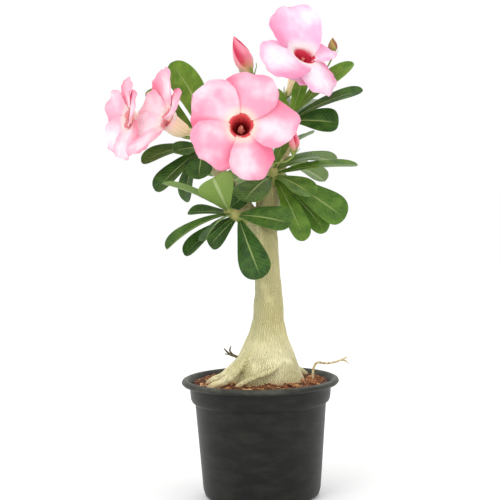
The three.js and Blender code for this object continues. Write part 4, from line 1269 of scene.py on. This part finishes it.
def make_calyx(name, node, place, height, foot_radius, brim, stalk, size):
    """Sepals as one piece with thickness, and the cup and its stalk as another."""
    bm = new_bmesh()
    add_sepals(bm, size, foot_radius, brim, height)
    thicken(finished(bm, f"{name}_sepals", node, [calyx_paint], place), 0.5 * max(size, 0.6))
    bm = new_bmesh()
    add_cup(bm, size, foot_radius, height)
    bm.transform(place)
    ends = [(height - 6 * size, 1.8 * size), (height - 1.6, 2 * size)]
    route = [(*point, 1.6 * size) for point in stalk]
    route += [(*(place @ Vector((0, 0, z))), radius) for z, radius in ends]
    add_tube(bm, route, sides=14, spacing=1.2, bumps=0.1)
    finished(bm, f"{name}_stalk", node, [calyx_paint])


print("calyx: 5 sepals, a cup and a stalk")

# %% [markdown]
# ## Open blooms
# Every bloom is built from the same four parts, then turned and moved to where it opens. Petals and tube
# have an inside and an outside finish, which Solidify sets.

# %% Open blooms
TUBE_WALL = 0.7
PETAL_THICKNESS = 0.45
SEPAL_BRIM = 3.2

for name, (throat, facing, length, colours, taper, rows, stalk) in BLOOMS.items():
    petal_paint, petal_back_paint, throat_paint = finishes[colours]
    place = turned_to(throat, facing)
    corolla = f"{name}_corolla"
    bm = new_bmesh()
    for row in rows:
        add_petal(bm, taper, *row)
    petals = finished(bm, f"{name}_petals", corolla, [petal_paint, petal_back_paint], place)
    thicken(petals, PETAL_THICKNESS, smooth=1, inner_slot=1)
    bm = new_bmesh()
    add_tube_wall(bm, length)
    trumpet = finished(bm, f"{name}_tube", corolla, [throat_paint, tube_paint], place)
    thicken(trumpet, TUBE_WALL, inner_slot=1)
    bm = new_bmesh()
    add_anthers(bm, length)
    finished(bm, f"{name}_anther_cone", f"{name}_anthers", [anther_paint], place)
    make_calyx(name, f"{name}_calyx", place, -length, TUBE_FOOT, SEPAL_BRIM, stalk, 1.0)
    print(name, "petals:", len(petals.data.polygons), "faces before thickening")

# %% [markdown]
# ## Buds
# An unopened bloom is rolled up like an umbrella, so a bud is a pointed spindle whose petal edges wind
# round it as low steps. A skin rolled from a grid takes the step as a saw-tooth in its radius, which is
# far simpler than real petals rolled one inside the next.


# %% Buds
BUDS = {  # foot, facing, length, radius, colours, stalk
    "bud_large": ((-4, 5, 353), (-0.38, -0.14, 0.92), 35, 7.6, "red",
                  [(-0.8, 10.1, 325.9), (-1.2, 10, 328.8)]),
    "bud_small": ((66, 26, 371), (0, -0.1, 1), 13, 4, "green",
                  [(30.8, 13.2, 322.4), (31.6, 14.4, 325), (50, 30, 342)]),
    "bud_hidden": ((30.5, -11, 289), (0.1, 0, 1), 17, 4.5, "red",
                   [(14.4, -5.6, 277.2), (15.3, -7.2, 279.6), (24, -12, 281)]),
}
BUD_OUTLINE = Path([(0, 0.3), (0.02, 0.4), (0.08, 0.52), (0.2, 0.8), (0.38, 1), (0.56, 0.92), (0.76, 0.6),
                    (0.92, 0.24), (1, 0.02)], 6)


def bud_finish(name, *colours):
    """Three petal edges wind up the bud. Each petal is darker where it comes out from under the next, as
    painted shade of that edge.
    """
    deep, pink, foot = [srgb(*colour) for colour in colours]
    paint = Paint(f"{name}_bud", {"Roughness": 0.45, "Specular IOR Level": 0.3, **TRANSLUCENT})
    along, across = paint.along_across()
    petal_edge = (across * 3 + along * 1.1) % 1
    cloud = paint.noise(110, 3)
    # Painted shade: each petal is darker just under the edge of the one that winds over it.
    shaded_under_edges = mix((petal_edge + 0.6 * (cloud - 0.5)).ramp(0.1, 0.85), deep, pink)
    paint.colour(mix(along.ramp(0.5, 0.12) * cloud.ramp(0.25, 0.55), shaded_under_edges, foot))
    paint.relief(cloud, 0.4)
    return paint


BUD_FINISHES = {
    "red": bud_finish("red", (204, 48, 84), (244, 156, 176), (206, 198, 136)),
    "green": bud_finish("green", (150, 84, 66), (176, 160, 90), (120, 142, 62)),
}

for name, (foot, facing, length, radius, colours, stalk) in BUDS.items():

    def bud_skin(u, turn):
        height, share = BUD_OUTLINE.at(u)
        winding = (3 * turn / math.tau + 1.1 * height) % 1
        step = 0.07 * winding ** 2 if u < 1 else 0
        reach = radius * share * (0.98 + step + 0.03 * math.sin(3 * turn + 5 * height))
        return around(reach, turn, height * length)

    place = turned_to(foot, facing)
    bm = new_bmesh()
    add_rolled(bm, 50, 60, bud_skin)
    finished(bm, f"{name}_rolled", name, [BUD_FINISHES[colours]], place)
    make_calyx(name, f"{name}_calyx", place, 0, radius * 0.38, radius * 0.9, stalk, length / 30)
    print(name, "is", length, "mm long")

# %% [markdown]
# ## Sizes
# The finer pieces are meant to stay inside the frame's box.
